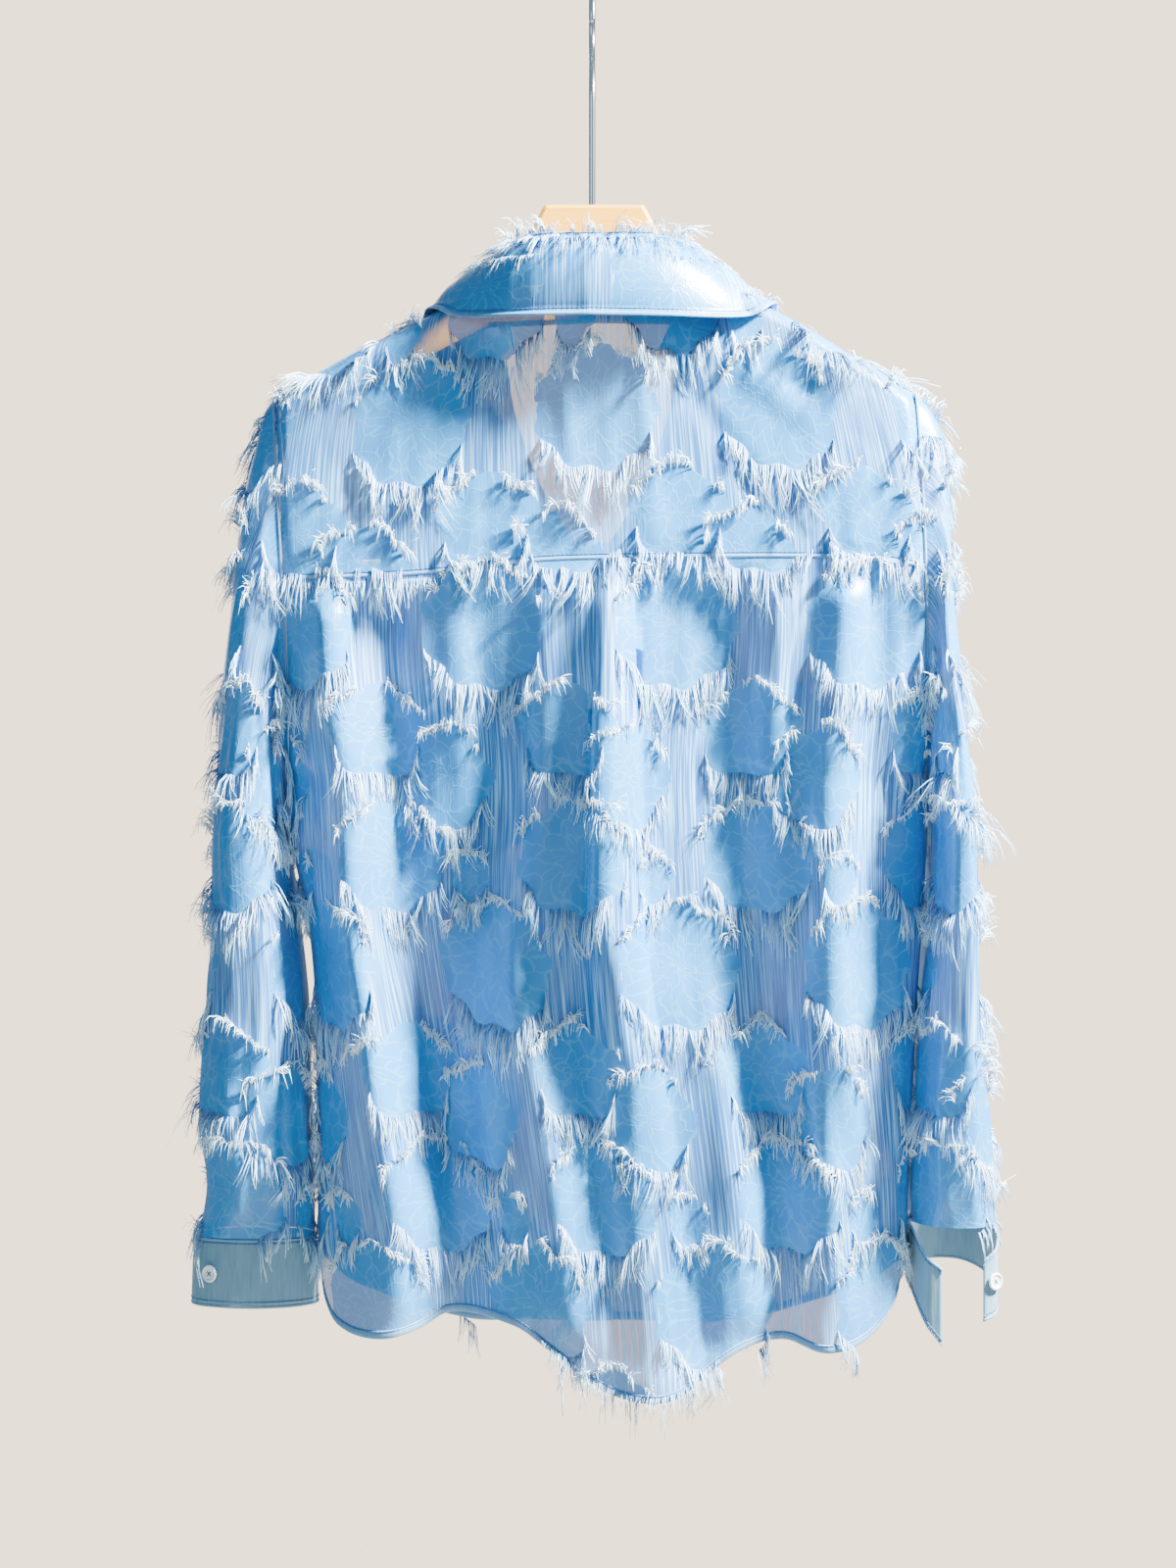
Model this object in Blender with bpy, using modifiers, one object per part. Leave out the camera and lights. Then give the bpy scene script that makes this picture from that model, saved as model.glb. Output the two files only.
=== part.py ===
"""A sheer fringed shirt hanging on a flat wooden hanger, as solids.

Units are metres and +Z is up. The origin is the underside of the hook's crown, where a rail
holds the hanger. -Y is the wearer's back, +Y the wearer's front and +X the wearer's right.
Each cloth piece is an open surface worked out from the sizes below and given its wall by a
Solidify modifier. The fringe is rows of locks, each row fused to a narrow strip on the cloth.
"""

import math

import bmesh
import bpy
from mathutils import Vector
from mathutils.bvhtree import BVHTree

WALL = 0.0013
SEAM_GAP = 0.0008
SIDE_GAP = 0.0007
LAYER_GAP = 0.0005
ROUND = 0.012

# Height, wearer's left side, wearer's right side, depth of the back, depth of the front.
BODY = (
    (-0.170, -0.2083, 0.2114, 0.019, 0.020),
    (-0.270, -0.2083, 0.2134, 0.024, 0.028),
    (-0.380, -0.2022, 0.2175, 0.031, 0.037),
    (-0.460, -0.1996, 0.2195, 0.035, 0.041),
    (-0.560, -0.1996, 0.2216, 0.038, 0.043),
    (-0.610, -0.1890, 0.2195, 0.040, 0.044),
    (-0.670, -0.1834, 0.2155, 0.041, 0.045),
    (-0.780, -0.1819, 0.2104, 0.043, 0.046),
    (-0.860, -0.1813, 0.2073, 0.044, 0.046),
    (-0.960, -0.1808, 0.2033, 0.045, 0.046),
)
LEFT, RIGHT, BACK_DEPTH, FRONT_DEPTH = 1, 2, 3, 4

# Across, height of the line where the cloth goes over the shoulders.
SHOULDER = (
    (-0.2083, -0.2689),
    (-0.1978, -0.2614),
    (-0.1586, -0.2384),
    (-0.1128, -0.2171),
    (-0.0710, -0.1932),
    (-0.0500, -0.1815),
    (0.0000, -0.1693),
    (0.0500, -0.1795),
    (0.0710, -0.1896),
    (0.1260, -0.2130),
    (0.1795, -0.2451),
    (0.2134, -0.2669),
)
UNDERARM = -0.518
ARMHOLE_BACK = 0.026
ARMHOLE_FRONT = 0.031
ARMHOLE_CURVE = 0.45

# Height, how square the body's section is.
SQUARENESS = ((-0.300, 5.0), (-0.360, 3.6), (-0.430, 2.7), (-0.900, 2.5))

NECK_X = -0.003
NECK_HEIGHT = -0.200
NECK_BULGE_BACK = 0.025
NECK_BULGE_FRONT = 0.030
NECK_WIDE_BACK = 0.050
NECK_WIDE_FRONT = 0.080
NECK_FADE = 0.060

# Across from the neck's middle, how far the yoke's top edge lies behind the shoulder line.
NECK_EDGE = (
    (0.000, 0.043),
    (0.030, 0.038),
    (0.048, 0.026),
    (0.058, 0.012),
    (0.066, -0.003),
    (0.072, -0.014),
    (0.079, -0.020),
    (0.230, -0.020),
)
# Across, height of the seam under the yoke.
YOKE_SEAM = (
    (-0.200, -0.3905),
    (-0.114, -0.3873),
    (-0.040, -0.3790),
    (0.010, -0.3770),
    (0.140, -0.3760),
    (0.190, -0.3780),
    (0.215, -0.3820),
)
# Across, height of the back's shirt-tail hem.
BACK_HEM = (
    (-0.1800, -0.8400),
    (-0.1760, -0.8640),
    (-0.1664, -0.8800),
    (-0.1400, -0.8854),
    (-0.1120, -0.8800),
    (-0.0930, -0.8710),
    (-0.0500, -0.8770),
    (-0.0275, -0.8930),
    (0.0083, -0.9190),
    (0.0330, -0.9245),
    (0.0576, -0.9200),
    (0.0940, -0.8950),
    (0.1248, -0.8880),
    (0.1490, -0.8945),
    (0.1718, -0.8920),
    (0.1880, -0.8820),
    (0.2000, -0.8640),
    (0.2050, -0.8440),
)
# Across, height of the fronts' hem.
FRONT_HEM = (
    (-0.1800, -0.8400),
    (-0.1600, -0.8620),
    (-0.1000, -0.8840),
    (0.0000, -0.8900),
    (0.1200, -0.8860),
    (0.1850, -0.8620),
    (0.2050, -0.8440),
)

# The centre back pleat: height, lift, undercut at each side, half width of its root.
PLEAT = (
    (-0.370, 0.0035, 0.0000, 0.0140),
    (-0.420, 0.0090, 0.0040, 0.0135),
    (-0.520, 0.0140, 0.0080, 0.0140),
    (-0.600, 0.0160, 0.0070, 0.0180),
    (-0.700, 0.0160, 0.0030, 0.0260),
    (-0.930, 0.0140, 0.0000, 0.0360),
)
PLEAT_X = 0.0150
PLEAT_DRIFT = 0.030
PLEAT_SHARE = 0.16

# Hanging folds: middle at the top, middle at the hem, half width, lift at the top, lift at
# the hem, height where the fold starts, height where it is full. A ridge lifts outwards.
BACK_FOLDS = (
    (-0.150, -0.142, 0.040, 0.000, 0.014, -0.330, -0.620),
    (-0.060, -0.088, 0.042, 0.000, -0.017, -0.400, -0.700),
    (0.100, 0.120, 0.036, 0.000, -0.011, -0.400, -0.700),
    (0.165, 0.158, 0.032, 0.000, 0.010, -0.360, -0.620),
)
FRONT_FOLDS = (
    (-0.140, -0.150, 0.040, 0.000, 0.012, -0.330, -0.620),
    (-0.080, -0.075, 0.036, 0.000, -0.012, -0.400, -0.700),
    (0.085, 0.070, 0.036, 0.000, -0.010, -0.380, -0.680),
    (0.150, 0.145, 0.040, 0.000, 0.013, -0.360, -0.640),
)

# The open front edge: height, across from the middle.
FRONT_EDGE = (
    (-0.212, 0.0760),
    (-0.222, 0.0690),
    (-0.232, 0.0620),
    (-0.245, 0.0570),
    (-0.270, 0.0530),
    (-0.300, 0.0440),
    (-0.330, 0.0310),
    (-0.360, 0.0130),
    (-0.385, -0.0060),
    (-0.405, -0.0130),
    (-0.960, -0.0130),
)
PLACKET_WIDTH = 0.027
PLACKET_SHARE = 0.15
UNDERLAP = 0.0048
UNDERLAP_SPREAD = 0.050
SHOULDER_SEAM = 0.0205

# Sleeves: height, outer side, inner side, middle of the depth, half depth.
LEFT_SLEEVE = (
    (-0.560, -0.2520, -0.2035, 0.010, 0.056),
    (-0.610, -0.2530, -0.1965, 0.010, 0.055),
    (-0.670, -0.2550, -0.1895, 0.009, 0.051),
    (-0.747, -0.2600, -0.1865, 0.005, 0.042),
    (-0.790, -0.2540, -0.1850, 0.002, 0.034),
    (-0.823, -0.2615, -0.1840, 0.000, 0.027),
)
RIGHT_SLEEVE = (
    (-0.560, 0.2550, 0.2250, 0.014, 0.066),
    (-0.610, 0.2560, 0.2230, 0.014, 0.065),
    (-0.670, 0.2580, 0.2190, 0.013, 0.061),
    (-0.730, 0.2615, 0.2150, 0.012, 0.056),
    (-0.780, 0.2655, 0.2125, 0.012, 0.050),
    (-0.815, 0.2690, 0.2110, 0.012, 0.046),
)
# The sleeve head's outer line: height, across on the left, across on the right.
SLEEVE_HEAD = (
    (-0.2688, -0.2104, 0.2155),
    (-0.2740, -0.2150, 0.2225),
    (-0.2840, -0.2195, 0.2290),
    (-0.3040, -0.2240, 0.2345),
    (-0.3300, -0.2300, 0.2370),
    (-0.3710, -0.2365, 0.2375),
    (-0.4350, -0.2415, 0.2435),
    (-0.5000, -0.2470, 0.2490),
    (-0.5600, -0.2520, 0.2550),
)
SLEEVE_SQUARENESS = 2.3
# Sleeve folds: where round the sleeve in degrees, half width in degrees, lift.
SLEEVE_FOLDS = ((150.0, 34.0, -0.0085), (60.0, 30.0, 0.0030), (245.0, 34.0, -0.0090), (300.0, 30.0, 0.0035))

CUFF_HEIGHT = 0.045
CUFF_OVERLAP = 0.018
LEFT_CUFF = (-0.8237, -0.2625, -0.1830, 0.000, 0.0255)
LEFT_CUFF_FLARE = 0.0015

# The open cuff: share of its length, across, depth, top edge, bottom edge.
RIGHT_CUFF = (
    (0.00, 0.2290, -0.0300, -0.8420, -0.8930),
    (0.06, 0.2190, -0.0260, -0.8340, -0.8800),
    (0.16, 0.2120, -0.0080, -0.8185, -0.8620),
    (0.32, 0.2120, 0.0260, -0.8162, -0.8550),
    (0.46, 0.2270, 0.0545, -0.8157, -0.8500),
    (0.58, 0.2510, 0.0550, -0.8157, -0.8500),
    (0.72, 0.2660, 0.0290, -0.8162, -0.8540),
    (0.86, 0.2680, -0.0050, -0.8185, -0.8600),
    (0.95, 0.2650, -0.0270, -0.8290, -0.8720),
    (1.00, 0.2560, -0.0330, -0.8360, -0.8760),
)

# Collar lines: share from the back's middle, how far out the neck seam lies, then across,
# depth and height of the fold and of the leaf's edge.
COLLAR = (
    (0.00, 0.0000, 0.0000, -0.0440, -0.1680, 0.0000, -0.0570, -0.2225),
    (0.20, 0.0300, 0.0280, -0.0395, -0.1670, 0.0410, -0.0520, -0.2225),
    (0.35, 0.0480, 0.0440, -0.0270, -0.1670, 0.0700, -0.0400, -0.2215),
    (0.45, 0.0575, 0.0505, -0.0110, -0.1675, 0.0900, -0.0260, -0.2180),
    (0.52, 0.0630, 0.0530, 0.0040, -0.1700, 0.1040, -0.0130, -0.2120),
    (0.60, 0.0670, 0.0560, 0.0190, -0.1760, 0.1090, 0.0060, -0.2130),
    (0.70, 0.0735, 0.0570, 0.0330, -0.1880, 0.1085, 0.0300, -0.2270),
    (0.85, 0.0780, 0.0550, 0.0430, -0.2070, 0.1020, 0.0390, -0.2600),
    (1.00, 0.0790, 0.0520, 0.0470, -0.2270, 0.0900, 0.0400, -0.2980),
)
NECK_SEAM, FOLD, LEAF_EDGE = 1, 2, 5
FOLD_RIGHT, LEAF_RIGHT = 0.0120, 0.0190
LEAF_CLEAR = 0.0056
STAND_END = 0.76
STAND_INSET = 0.0022
STAND_DROP = 0.0015
SEAM_INSET = 0.0035

POCKET_LEFT, POCKET_RIGHT = -0.137, -0.040
POCKET_TOP, POCKET_SIDE, POCKET_POINT = -0.461, -0.561, -0.584

BUTTON_RADIUS = 0.0057
BUTTON_THICK = 0.0024
BUTTON_TOP = -0.410
BUTTON_PITCH = 0.096
BUTTON_COUNT = 5
COLLAR_BUTTON = (-0.0500, -0.318)
CUFF_BUTTON = (-0.2495, -0.8467)

HANGER_THICK = 0.0095
HANGER_EDGE = 0.0026
HANGER_REACH = 0.1930
HANGER_DEPTH = 0.024
HANGER_X = 0.0015
HANGER_CLEAR = 0.0030
NECK_CLEAR = 0.0026
HANGER_BLOCK_DEEP = 0.078
BLOCK_TOP = -0.1404
# The neck block's side: out from the middle, height.
BLOCK_SIDE = (
    (0.0325, -0.1404),
    (0.0345, -0.1430),
    (0.0442, -0.1619),
    (0.0478, -0.1700),
    (0.0500, -0.1800),
    (0.0510, -0.1905),
    (0.0580, -0.1945),
)
HOOK_WIRE = 0.0023
HOOK_INSIDE = 0.0205
HOOK_SET_IN = 0.018

FRINGE_WIDTH = 0.0030
FRINGE_THICK = 0.0009
FRINGE_OFF = 0.0009
LOCK_TIP = 0.36
SLEEVE_LONG = 0.60
LEAF_DEEP = 0.056

CLOTH_BLUE = (0.33, 0.62, 0.90, 1.0)
FRINGE_BLUE = (0.62, 0.82, 0.98, 1.0)
BUTTON_WHITE = (0.90, 0.91, 0.92, 1.0)
WOOD_PALE = (0.86, 0.66, 0.38, 1.0)
STEEL_GREY = (0.55, 0.55, 0.56, 1.0)


def read(table, at, column=1):
    """A column's value at a place in a table, on a smooth curve through its rows."""
    if table[0][0] > table[-1][0]:
        table = table[::-1]
    if at <= table[0][0]:
        return table[0][column]
    if at >= table[-1][0]:
        return table[-1][column]
    i = next(k for k in range(len(table) - 1) if at <= table[k + 1][0])
    x0, x1 = table[i][0], table[i + 1][0]
    y0, y1 = table[i][column], table[i + 1][column]
    before, after = table[max(i - 1, 0)], table[min(i + 2, len(table) - 1)]
    slope0 = (y1 - before[column]) / (x1 - before[0])
    slope1 = (after[column] - y0) / (after[0] - x0)
    span, t = x1 - x0, (at - x0) / (x1 - x0)
    return (
        y0 * (1 + 2 * t) * (1 - t) ** 2
        + slope0 * span * t * (1 - t) ** 2
        + y1 * t * t * (3 - 2 * t)
        + slope1 * span * t * t * (t - 1)
    )


def ease(t):
    """0 to 1 with level ends."""
    t = min(1.0, max(0.0, t))
    return t * t * (3 - 2 * t)


def armhole_gap(z, x, size):
    """Half the armhole's opening at a height: 0 at the shoulder and at the underarm."""
    top = read(SHOULDER, -0.2083 if x < 0 else 0.2134)
    share = (top - z) / (top - UNDERARM)
    if not 0 < share < 1:
        return 0.0
    return size * math.sin(math.pi * share) ** ARMHOLE_CURVE


def fold_lift(folds, x, z):
    """How far the hanging folds lift the cloth outwards."""
    lift = 0.0
    for top_x, hem_x, half, top_lift, hem_lift, start, full in folds:
        down = ease((start - z) / (start - full))
        middle = top_x + (hem_x - top_x) * down
        near = (x - middle) / half
        if abs(near) < 1:
            lift += (top_lift + (hem_lift - top_lift) * down) * (0.5 + 0.5 * math.cos(math.pi * near))
    return lift


def body_depth(x, z, front):
    """How far the cloth lies from the shirt's middle plane, before the pleat."""
    left, right = read(BODY, z, LEFT), read(BODY, z, RIGHT)
    middle, half = (left + right) / 2, (right - left) / 2
    sigma = min(1.0, abs(x - middle) / half)
    square = read(SQUARENESS, z)
    edge = armhole_gap(z, x - middle, ARMHOLE_FRONT if front else ARMHOLE_BACK)
    depth = read(BODY, z, FRONT_DEPTH if front else BACK_DEPTH)
    depth = edge + (depth - edge) * (1 - sigma**square) ** (1 / square)
    wide = NECK_WIDE_FRONT if front else NECK_WIDE_BACK
    bulge = NECK_BULGE_FRONT if front else NECK_BULGE_BACK
    depth += (
        bulge
        * math.exp(-(((x - NECK_X) / wide) ** 2))
        * math.exp(-(((z - NECK_HEIGHT) / NECK_FADE) ** 2))
        * (1 - sigma**4)
    )
    depth += fold_lift(FRONT_FOLDS if front else BACK_FOLDS, x, z) * (1 - sigma**6)
    fall = max(0.0, read(SHOULDER, x) - z)
    return depth * math.sqrt(max(0.0, 1 - (1 - min(1.0, fall / ROUND)) ** 2))


def parted(depth, z):
    """A depth kept clear of the other panel along the side seams."""
    return depth + SIDE_GAP * ease((-0.45 - z) / 0.05)


def side_x(z, s):
    """Across at a height, for s from -1 at the left side to 1 at the right side."""
    left, right = read(BODY, z, LEFT), read(BODY, z, RIGHT)
    return (left + right) / 2 + (right - left) / 2 * s


def over_shoulder(x, way):
    """The yoke's point at a way measured over the shoulder line, minus to the front."""
    quarter = ROUND * math.pi / 2
    if abs(way) < quarter:
        fall = ROUND * (1 - math.cos(abs(way) / ROUND))
    else:
        fall = ROUND + abs(way) - quarter
    z = read(SHOULDER, x) - fall
    depth = body_depth(x, z, way < 0)
    return Vector((x, depth if way < 0 else -depth, z))


def yoke_point(s, v):
    """The yoke's outer surface: s across from -1 to 1, v from the top edge to the seam."""
    z = -0.30
    for _ in range(6):
        x = side_x(z, s)
        top = read(NECK_EDGE, abs(x - NECK_X))
        fall = read(SHOULDER, x) - read(YOKE_SEAM, x) - SEAM_GAP / 2
        bottom = fall - ROUND + ROUND * math.pi / 2
        point = over_shoulder(x, top + (bottom - top) * v)
        z = point.z
    return point


def back_across(a, z):
    """Across and pleat lift of the back at a height. The pleat takes the middle share of a."""
    lift, undercut, root = (read(PLEAT, z, column) for column in (1, 2, 3))
    middle = PLEAT_X + PLEAT_DRIFT * ease((-0.60 - z) / 0.34)
    if abs(a) <= PLEAT_SHARE:
        m = a / PLEAT_SHARE
        x = middle + root * m + undercut * math.sin(math.pi * m)
        return x, lift * (0.5 + 0.5 * math.cos(math.pi * m)), middle + root * m
    share = (abs(a) - PLEAT_SHARE) / (1 - PLEAT_SHARE)
    side = read(BODY, z, LEFT if a < 0 else RIGHT)
    base = middle + math.copysign(root, a)
    x = base + (side - base) * (1 - (1 - share) ** 1.6)
    return x, 0.0, x


def settled_height(across, line, offset, start):
    """The height at which a column of the cloth crosses a line given by its distance across."""
    z = start
    for _ in range(8):
        z = read(line, across(z)) + offset
    return z


def back_point(a, v):
    """The back panel's outer surface: a from -1 to 1 across, v from the yoke to the hem."""
    def across(z):
        return back_across(a, z)[2]

    top = settled_height(across, YOKE_SEAM, -SEAM_GAP / 2, -0.38)
    bottom = settled_height(across, BACK_HEM, 0.0, -0.88)
    z = top + (bottom - top) * v
    x, lift, flat_x = back_across(a, z)
    return Vector((x, -parted(body_depth(flat_x, z, False), z) - lift, z))


def front_point(hand, u, v, out=0.0):
    """A front's outer surface: u from the side to the front edge, v from shoulder to hem.

    The last share of u is the width of the placket.
    """
    def across(z):
        side = read(BODY, z, LEFT if hand < 0 else RIGHT)
        edge = hand * read(FRONT_EDGE, z)
        inner = edge + hand * PLACKET_WIDTH
        if u > 1 - PLACKET_SHARE:
            return edge + (inner - edge) * (1 - u) / PLACKET_SHARE
        return side + (inner - side) * (u / (1 - PLACKET_SHARE)) ** 1.35

    shift = -SHOULDER_SEAM + ROUND * math.pi / 2 - ROUND
    top = settled_height(across, SHOULDER, shift - 2 * SEAM_GAP, -0.26)
    bottom = settled_height(across, FRONT_HEM, 0.0, -0.88)
    z = top + (bottom - top) * v
    x = across(z)
    depth = parted(body_depth(x, z, True), z) + out
    return Vector((x, depth - (under_lap(x, z) if hand < 0 else 0.0), z))


def under_lap(x, z):
    """How far the left front is set back to pass under the right one."""
    return UNDERLAP * ease(1 - abs(x) / UNDERLAP_SPREAD) * ease((-0.345 - z) / 0.03)


def armhole_point(hand, turn):
    """The sleeve's top edge. turn is 0 at the shoulder, 0.25 at the back, 0.5 underneath."""
    down = 0.5 - 0.5 * math.cos(2 * math.pi * turn)
    top = read(SHOULDER, -0.2083 if hand < 0 else 0.2134) - 0.0005
    z = top + (UNDERARM - top) * down
    size = ARMHOLE_BACK if turn < 0.5 else ARMHOLE_FRONT
    gap = armhole_gap(z, hand, size)
    x = read(BODY, z, LEFT if hand < 0 else RIGHT) + hand * (WALL - 0.0006)
    return Vector((x, -gap if turn < 0.5 else gap, z))


def sleeve_ring(table, turn, z, hand):
    """A level section through the hanging sleeve."""
    outer, inner, middle, half = (read(table, z, column) for column in (1, 2, 3, 4))
    angle = 2 * math.pi * turn
    power = 2 / SLEEVE_SQUARENESS
    along = math.copysign(abs(math.cos(angle)) ** power, math.cos(angle))
    deep = math.copysign(abs(math.sin(angle)) ** power, math.sin(angle))
    lift = 0.0
    for place, wide, amount in SLEEVE_FOLDS:
        near = (math.degrees(angle) - place) / wide
        if abs(near) < 1:
            lift += amount * (0.5 + 0.5 * math.cos(math.pi * near))
    lift *= ease((-0.52 - z) / 0.06) * ease((z + 0.835) / 0.05)
    half_wide = abs(outer - inner) / 2
    x = (outer + inner) / 2 + hand * along * half_wide
    y = middle - deep * (half + lift)
    return Vector((x, y, z))


def sleeve_point(hand, turn, w):
    """The sleeve's outer surface: turn round it, w from the armhole to the cuff."""
    table = LEFT_SLEEVE if hand < 0 else RIGHT_SLEEVE
    joined = 0.36
    if w < joined:
        share = w / joined
        top = armhole_point(hand, turn)
        low = sleeve_ring(table, turn, table[0][0], hand)
        mixed = top.lerp(low, share)
        crown, foot = armhole_point(hand, 0.0), table[0]
        z = crown.z + (foot[0] - crown.z) * share
        line = read(SLEEVE_HEAD, z, 1 if hand < 0 else 2)
        swell = line - (crown.x + (foot[1] - crown.x) * share)
        return mixed + Vector((swell * (0.5 + 0.5 * math.cos(2 * math.pi * turn)), 0, 0))
    z = table[0][0] + (table[-1][0] - table[0][0]) * (w - joined) / (1 - joined)
    return sleeve_ring(table, turn, z, hand)


def left_cuff_point(t, v):
    """The buttoned cuff: t once round from under the lap to over it, v from top to bottom."""
    top, outer, inner, middle, half = LEFT_CUFF
    turn = 0.06 - t
    round_it = abs(outer - inner) / 2
    girth = math.pi * (3 * (round_it + half) - math.sqrt((3 * round_it + half) * (round_it + 3 * half)))
    lap = CUFF_OVERLAP / girth
    angle = 2 * math.pi * (turn * (1 + lap))
    rise = (WALL + LAYER_GAP) * 1.15 * ease((t - 1 + 2 * lap) / lap)
    flare = LEFT_CUFF_FLARE * v
    x = (outer + inner) / 2 - math.cos(angle) * (round_it + rise + flare)
    y = middle - math.sin(angle) * (half + rise + flare)
    return Vector((x, y, top - CUFF_HEIGHT * v))


def right_cuff_point(t, v):
    """The open cuff: t from its inner end round to its outer end, v from top to bottom."""
    x, y, top, bottom = (read(RIGHT_CUFF, t, column) for column in (1, 2, 3, 4))
    return Vector((x, y, top + (bottom - top) * v))


def collar_line(c, line):
    """A point on the fold or the leaf's edge, c from -1 at the left end to 1 at the right."""
    x, y, z = (read(COLLAR, abs(c), line + k) for k in range(3))
    wider = FOLD_RIGHT if line == FOLD else LEAF_RIGHT
    if c > 0:
        x += wider * math.sin(math.pi * c)
    return Vector((NECK_X + math.copysign(x, c), y, z))


def collar_out(c):
    """The level direction away from the neck."""
    fold = collar_line(c, FOLD)
    edge = collar_line(c, LEAF_EDGE)
    out = Vector((edge.x - fold.x, edge.y - fold.y, 0))
    return out.normalized()


def over_body(point, clear):
    """A point moved out where it would be nearer to the shoulders than a clearance."""
    if abs(point.x - NECK_X) < 0.058:
        return point
    centre = read(SHOULDER, point.x) - ROUND
    depth = body_depth(point.x, min(point.z, centre), point.y > 0) + clear
    up = max(0.0, point.z - centre)
    inside = math.hypot(point.y / depth, up / (ROUND + clear))
    if inside >= 1 or inside < 0.05:
        return point
    return Vector((point.x, point.y / inside, centre + up / inside if up else point.z))


def leaf_point(c, v):
    """The collar leaf's outer surface, v from the fold to the edge."""
    point = collar_line(c, FOLD).lerp(collar_line(c, LEAF_EDGE), v)
    bow = 0.0065 * math.sin(math.pi * min(1.0, v * 1.1)) ** 0.8 * (1 - 0.35 * abs(c))
    point += collar_out(c) * bow + Vector((0, 0, bow * 0.55))
    return over_body(point, LEAF_CLEAR)


def stand_point(c, v):
    """The collar stand's outer surface, v from its top to the neck seam."""
    fold = collar_line(c, FOLD) - collar_out(c) * STAND_INSET - Vector((0, 0, STAND_DROP))
    out = read(COLLAR, abs(c), NECK_SEAM)
    seam = over_shoulder(NECK_X + math.copysign(out, c), read(NECK_EDGE, out))
    inward = Vector((NECK_X - seam.x, 0.005 - seam.y, 0)).normalized()
    return fold.lerp(seam + inward * SEAM_INSET, v)


def pocket_point(s, v):
    """The chest pocket on the left front."""
    x = POCKET_LEFT + (POCKET_RIGHT - POCKET_LEFT) * s
    bottom = POCKET_POINT + (POCKET_SIDE - POCKET_POINT) * abs(2 * s - 1)
    z = POCKET_TOP + (bottom - POCKET_TOP) * v
    return Vector((x, parted(body_depth(x, z, True), z) - under_lap(x, z), z))


def material(name, colour, roughness, metallic=0.0):
    made = bpy.data.materials.get(name)
    if made:
        return made
    made = bpy.data.materials.new(name)
    made.use_nodes = True
    shader = made.node_tree.nodes["Principled BSDF"]
    shader.inputs["Base Color"].default_value = colour
    shader.inputs["Roughness"].default_value = roughness
    shader.inputs["Metallic"].default_value = metallic
    return made


def cloth():
    return material("cloth", CLOTH_BLUE, 0.55)


def object_from(name, mesh, finish, smooth_angle=40.0):
    """A named object in the shirt's collection."""
    mesh.materials.append(finish)
    mesh.shade_smooth()
    mesh.set_sharp_from_angle(angle=math.radians(smooth_angle))
    made = bpy.data.objects.new(name, mesh)
    bpy.data.collections["fringed_shirt"].objects.link(made)
    return made


def shares(count):
    return [i / count for i in range(count + 1)]


def wall(name, across, down, place, outward, closed=False):
    """A cloth piece: a grid laid on its surface, made a wall by Solidify.

    across and down are the grid's shares, place gives a point from one of each, and outward
    is a direction that its outer side faces at the grid's middle.
    """
    bm = bmesh.new()
    bmesh.ops.create_grid(bm, x_segments=len(across) - 1, y_segments=len(down) - 1, size=0.5)
    for vert in bm.verts:
        i = round((vert.co.x + 0.5) * (len(across) - 1))
        j = round((vert.co.y + 0.5) * (len(down) - 1))
        vert.co = place(across[i], down[j])
    if closed:
        bmesh.ops.remove_doubles(bm, verts=bm.verts, dist=0.00001)
    bmesh.ops.recalc_face_normals(bm, faces=bm.faces)
    middle = place(across[len(across) // 2], down[len(down) // 2])
    nearest = min(bm.faces, key=lambda face: (face.calc_center_median() - middle).length)
    if nearest.normal.dot(outward) < 0:
        bmesh.ops.reverse_faces(bm, faces=bm.faces)
    mesh = bpy.data.meshes.new(name)
    bm.to_mesh(mesh)
    bm.free()
    made = object_from(name, mesh, cloth())
    solidify = made.modifiers.new("wall", "SOLIDIFY")
    solidify.thickness = WALL
    solidify.offset = -1
    solidify.use_even_offset = False
    return made


BACKWARD, FORWARD = Vector((0, -1, 0)), Vector((0, 1, 0))


def facets(made):
    """The outer facets of a cloth piece, for laying another piece on."""
    points = [vert.co.copy() for vert in made.data.vertices]
    return BVHTree.FromPolygons(points, [tuple(face.vertices) for face in made.data.polygons])


def laid(trees, point, sign, out):
    """A point moved out to lie on a panel, outside its facets and its smooth surface."""
    depth = sign * point.y
    for tree in trees:
        hit = tree.ray_cast(Vector((point.x, sign, point.z)), Vector((0, -sign, 0)))[0]
        if hit:
            depth = max(depth, sign * hit.y)
    return Vector((point.x, sign * (depth + out), point.z))


def yoke():
    half = (0.077, 0.155, 0.22, 0.265, 0.30, 0.335, 0.37, 0.44, 0.53, 0.64, 0.75, 0.84, 0.91, 0.96, 1.0)
    columns = [-s for s in reversed(half)] + [0.0] + list(half)
    rows = (0, 0.032, 0.058, 0.081, 0.104, 0.127, 0.152, 0.194, 0.277, 0.392, 0.53, 0.668, 0.83, 1)
    return wall("yoke", columns, rows, yoke_point, BACKWARD)


def back_panel():
    pleat = [PLEAT_SHARE * m for m in (-1, -0.78, -0.56, -0.36, -0.12, 0.12, 0.36, 0.56, 0.78, 1)]
    side = [PLEAT_SHARE + (1 - PLEAT_SHARE) * share for share in shares(15)[1:]]
    columns = [-a for a in reversed(side)] + pleat + side
    return wall("back_panel", columns, shares(17), back_point, BACKWARD)


FRONT_ROWS = [share**1.25 for share in shares(19)]


def fronts():
    columns = [(1 - PLACKET_SHARE) * share for share in shares(11)]
    columns += [1 - PLACKET_SHARE / 2, 1.0]
    return [
        wall(name, columns, FRONT_ROWS, lambda u, v, hand=hand: front_point(hand, u, v), FORWARD)
        for name, hand in (("front_left", -1), ("front_right", 1))
    ]


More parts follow.
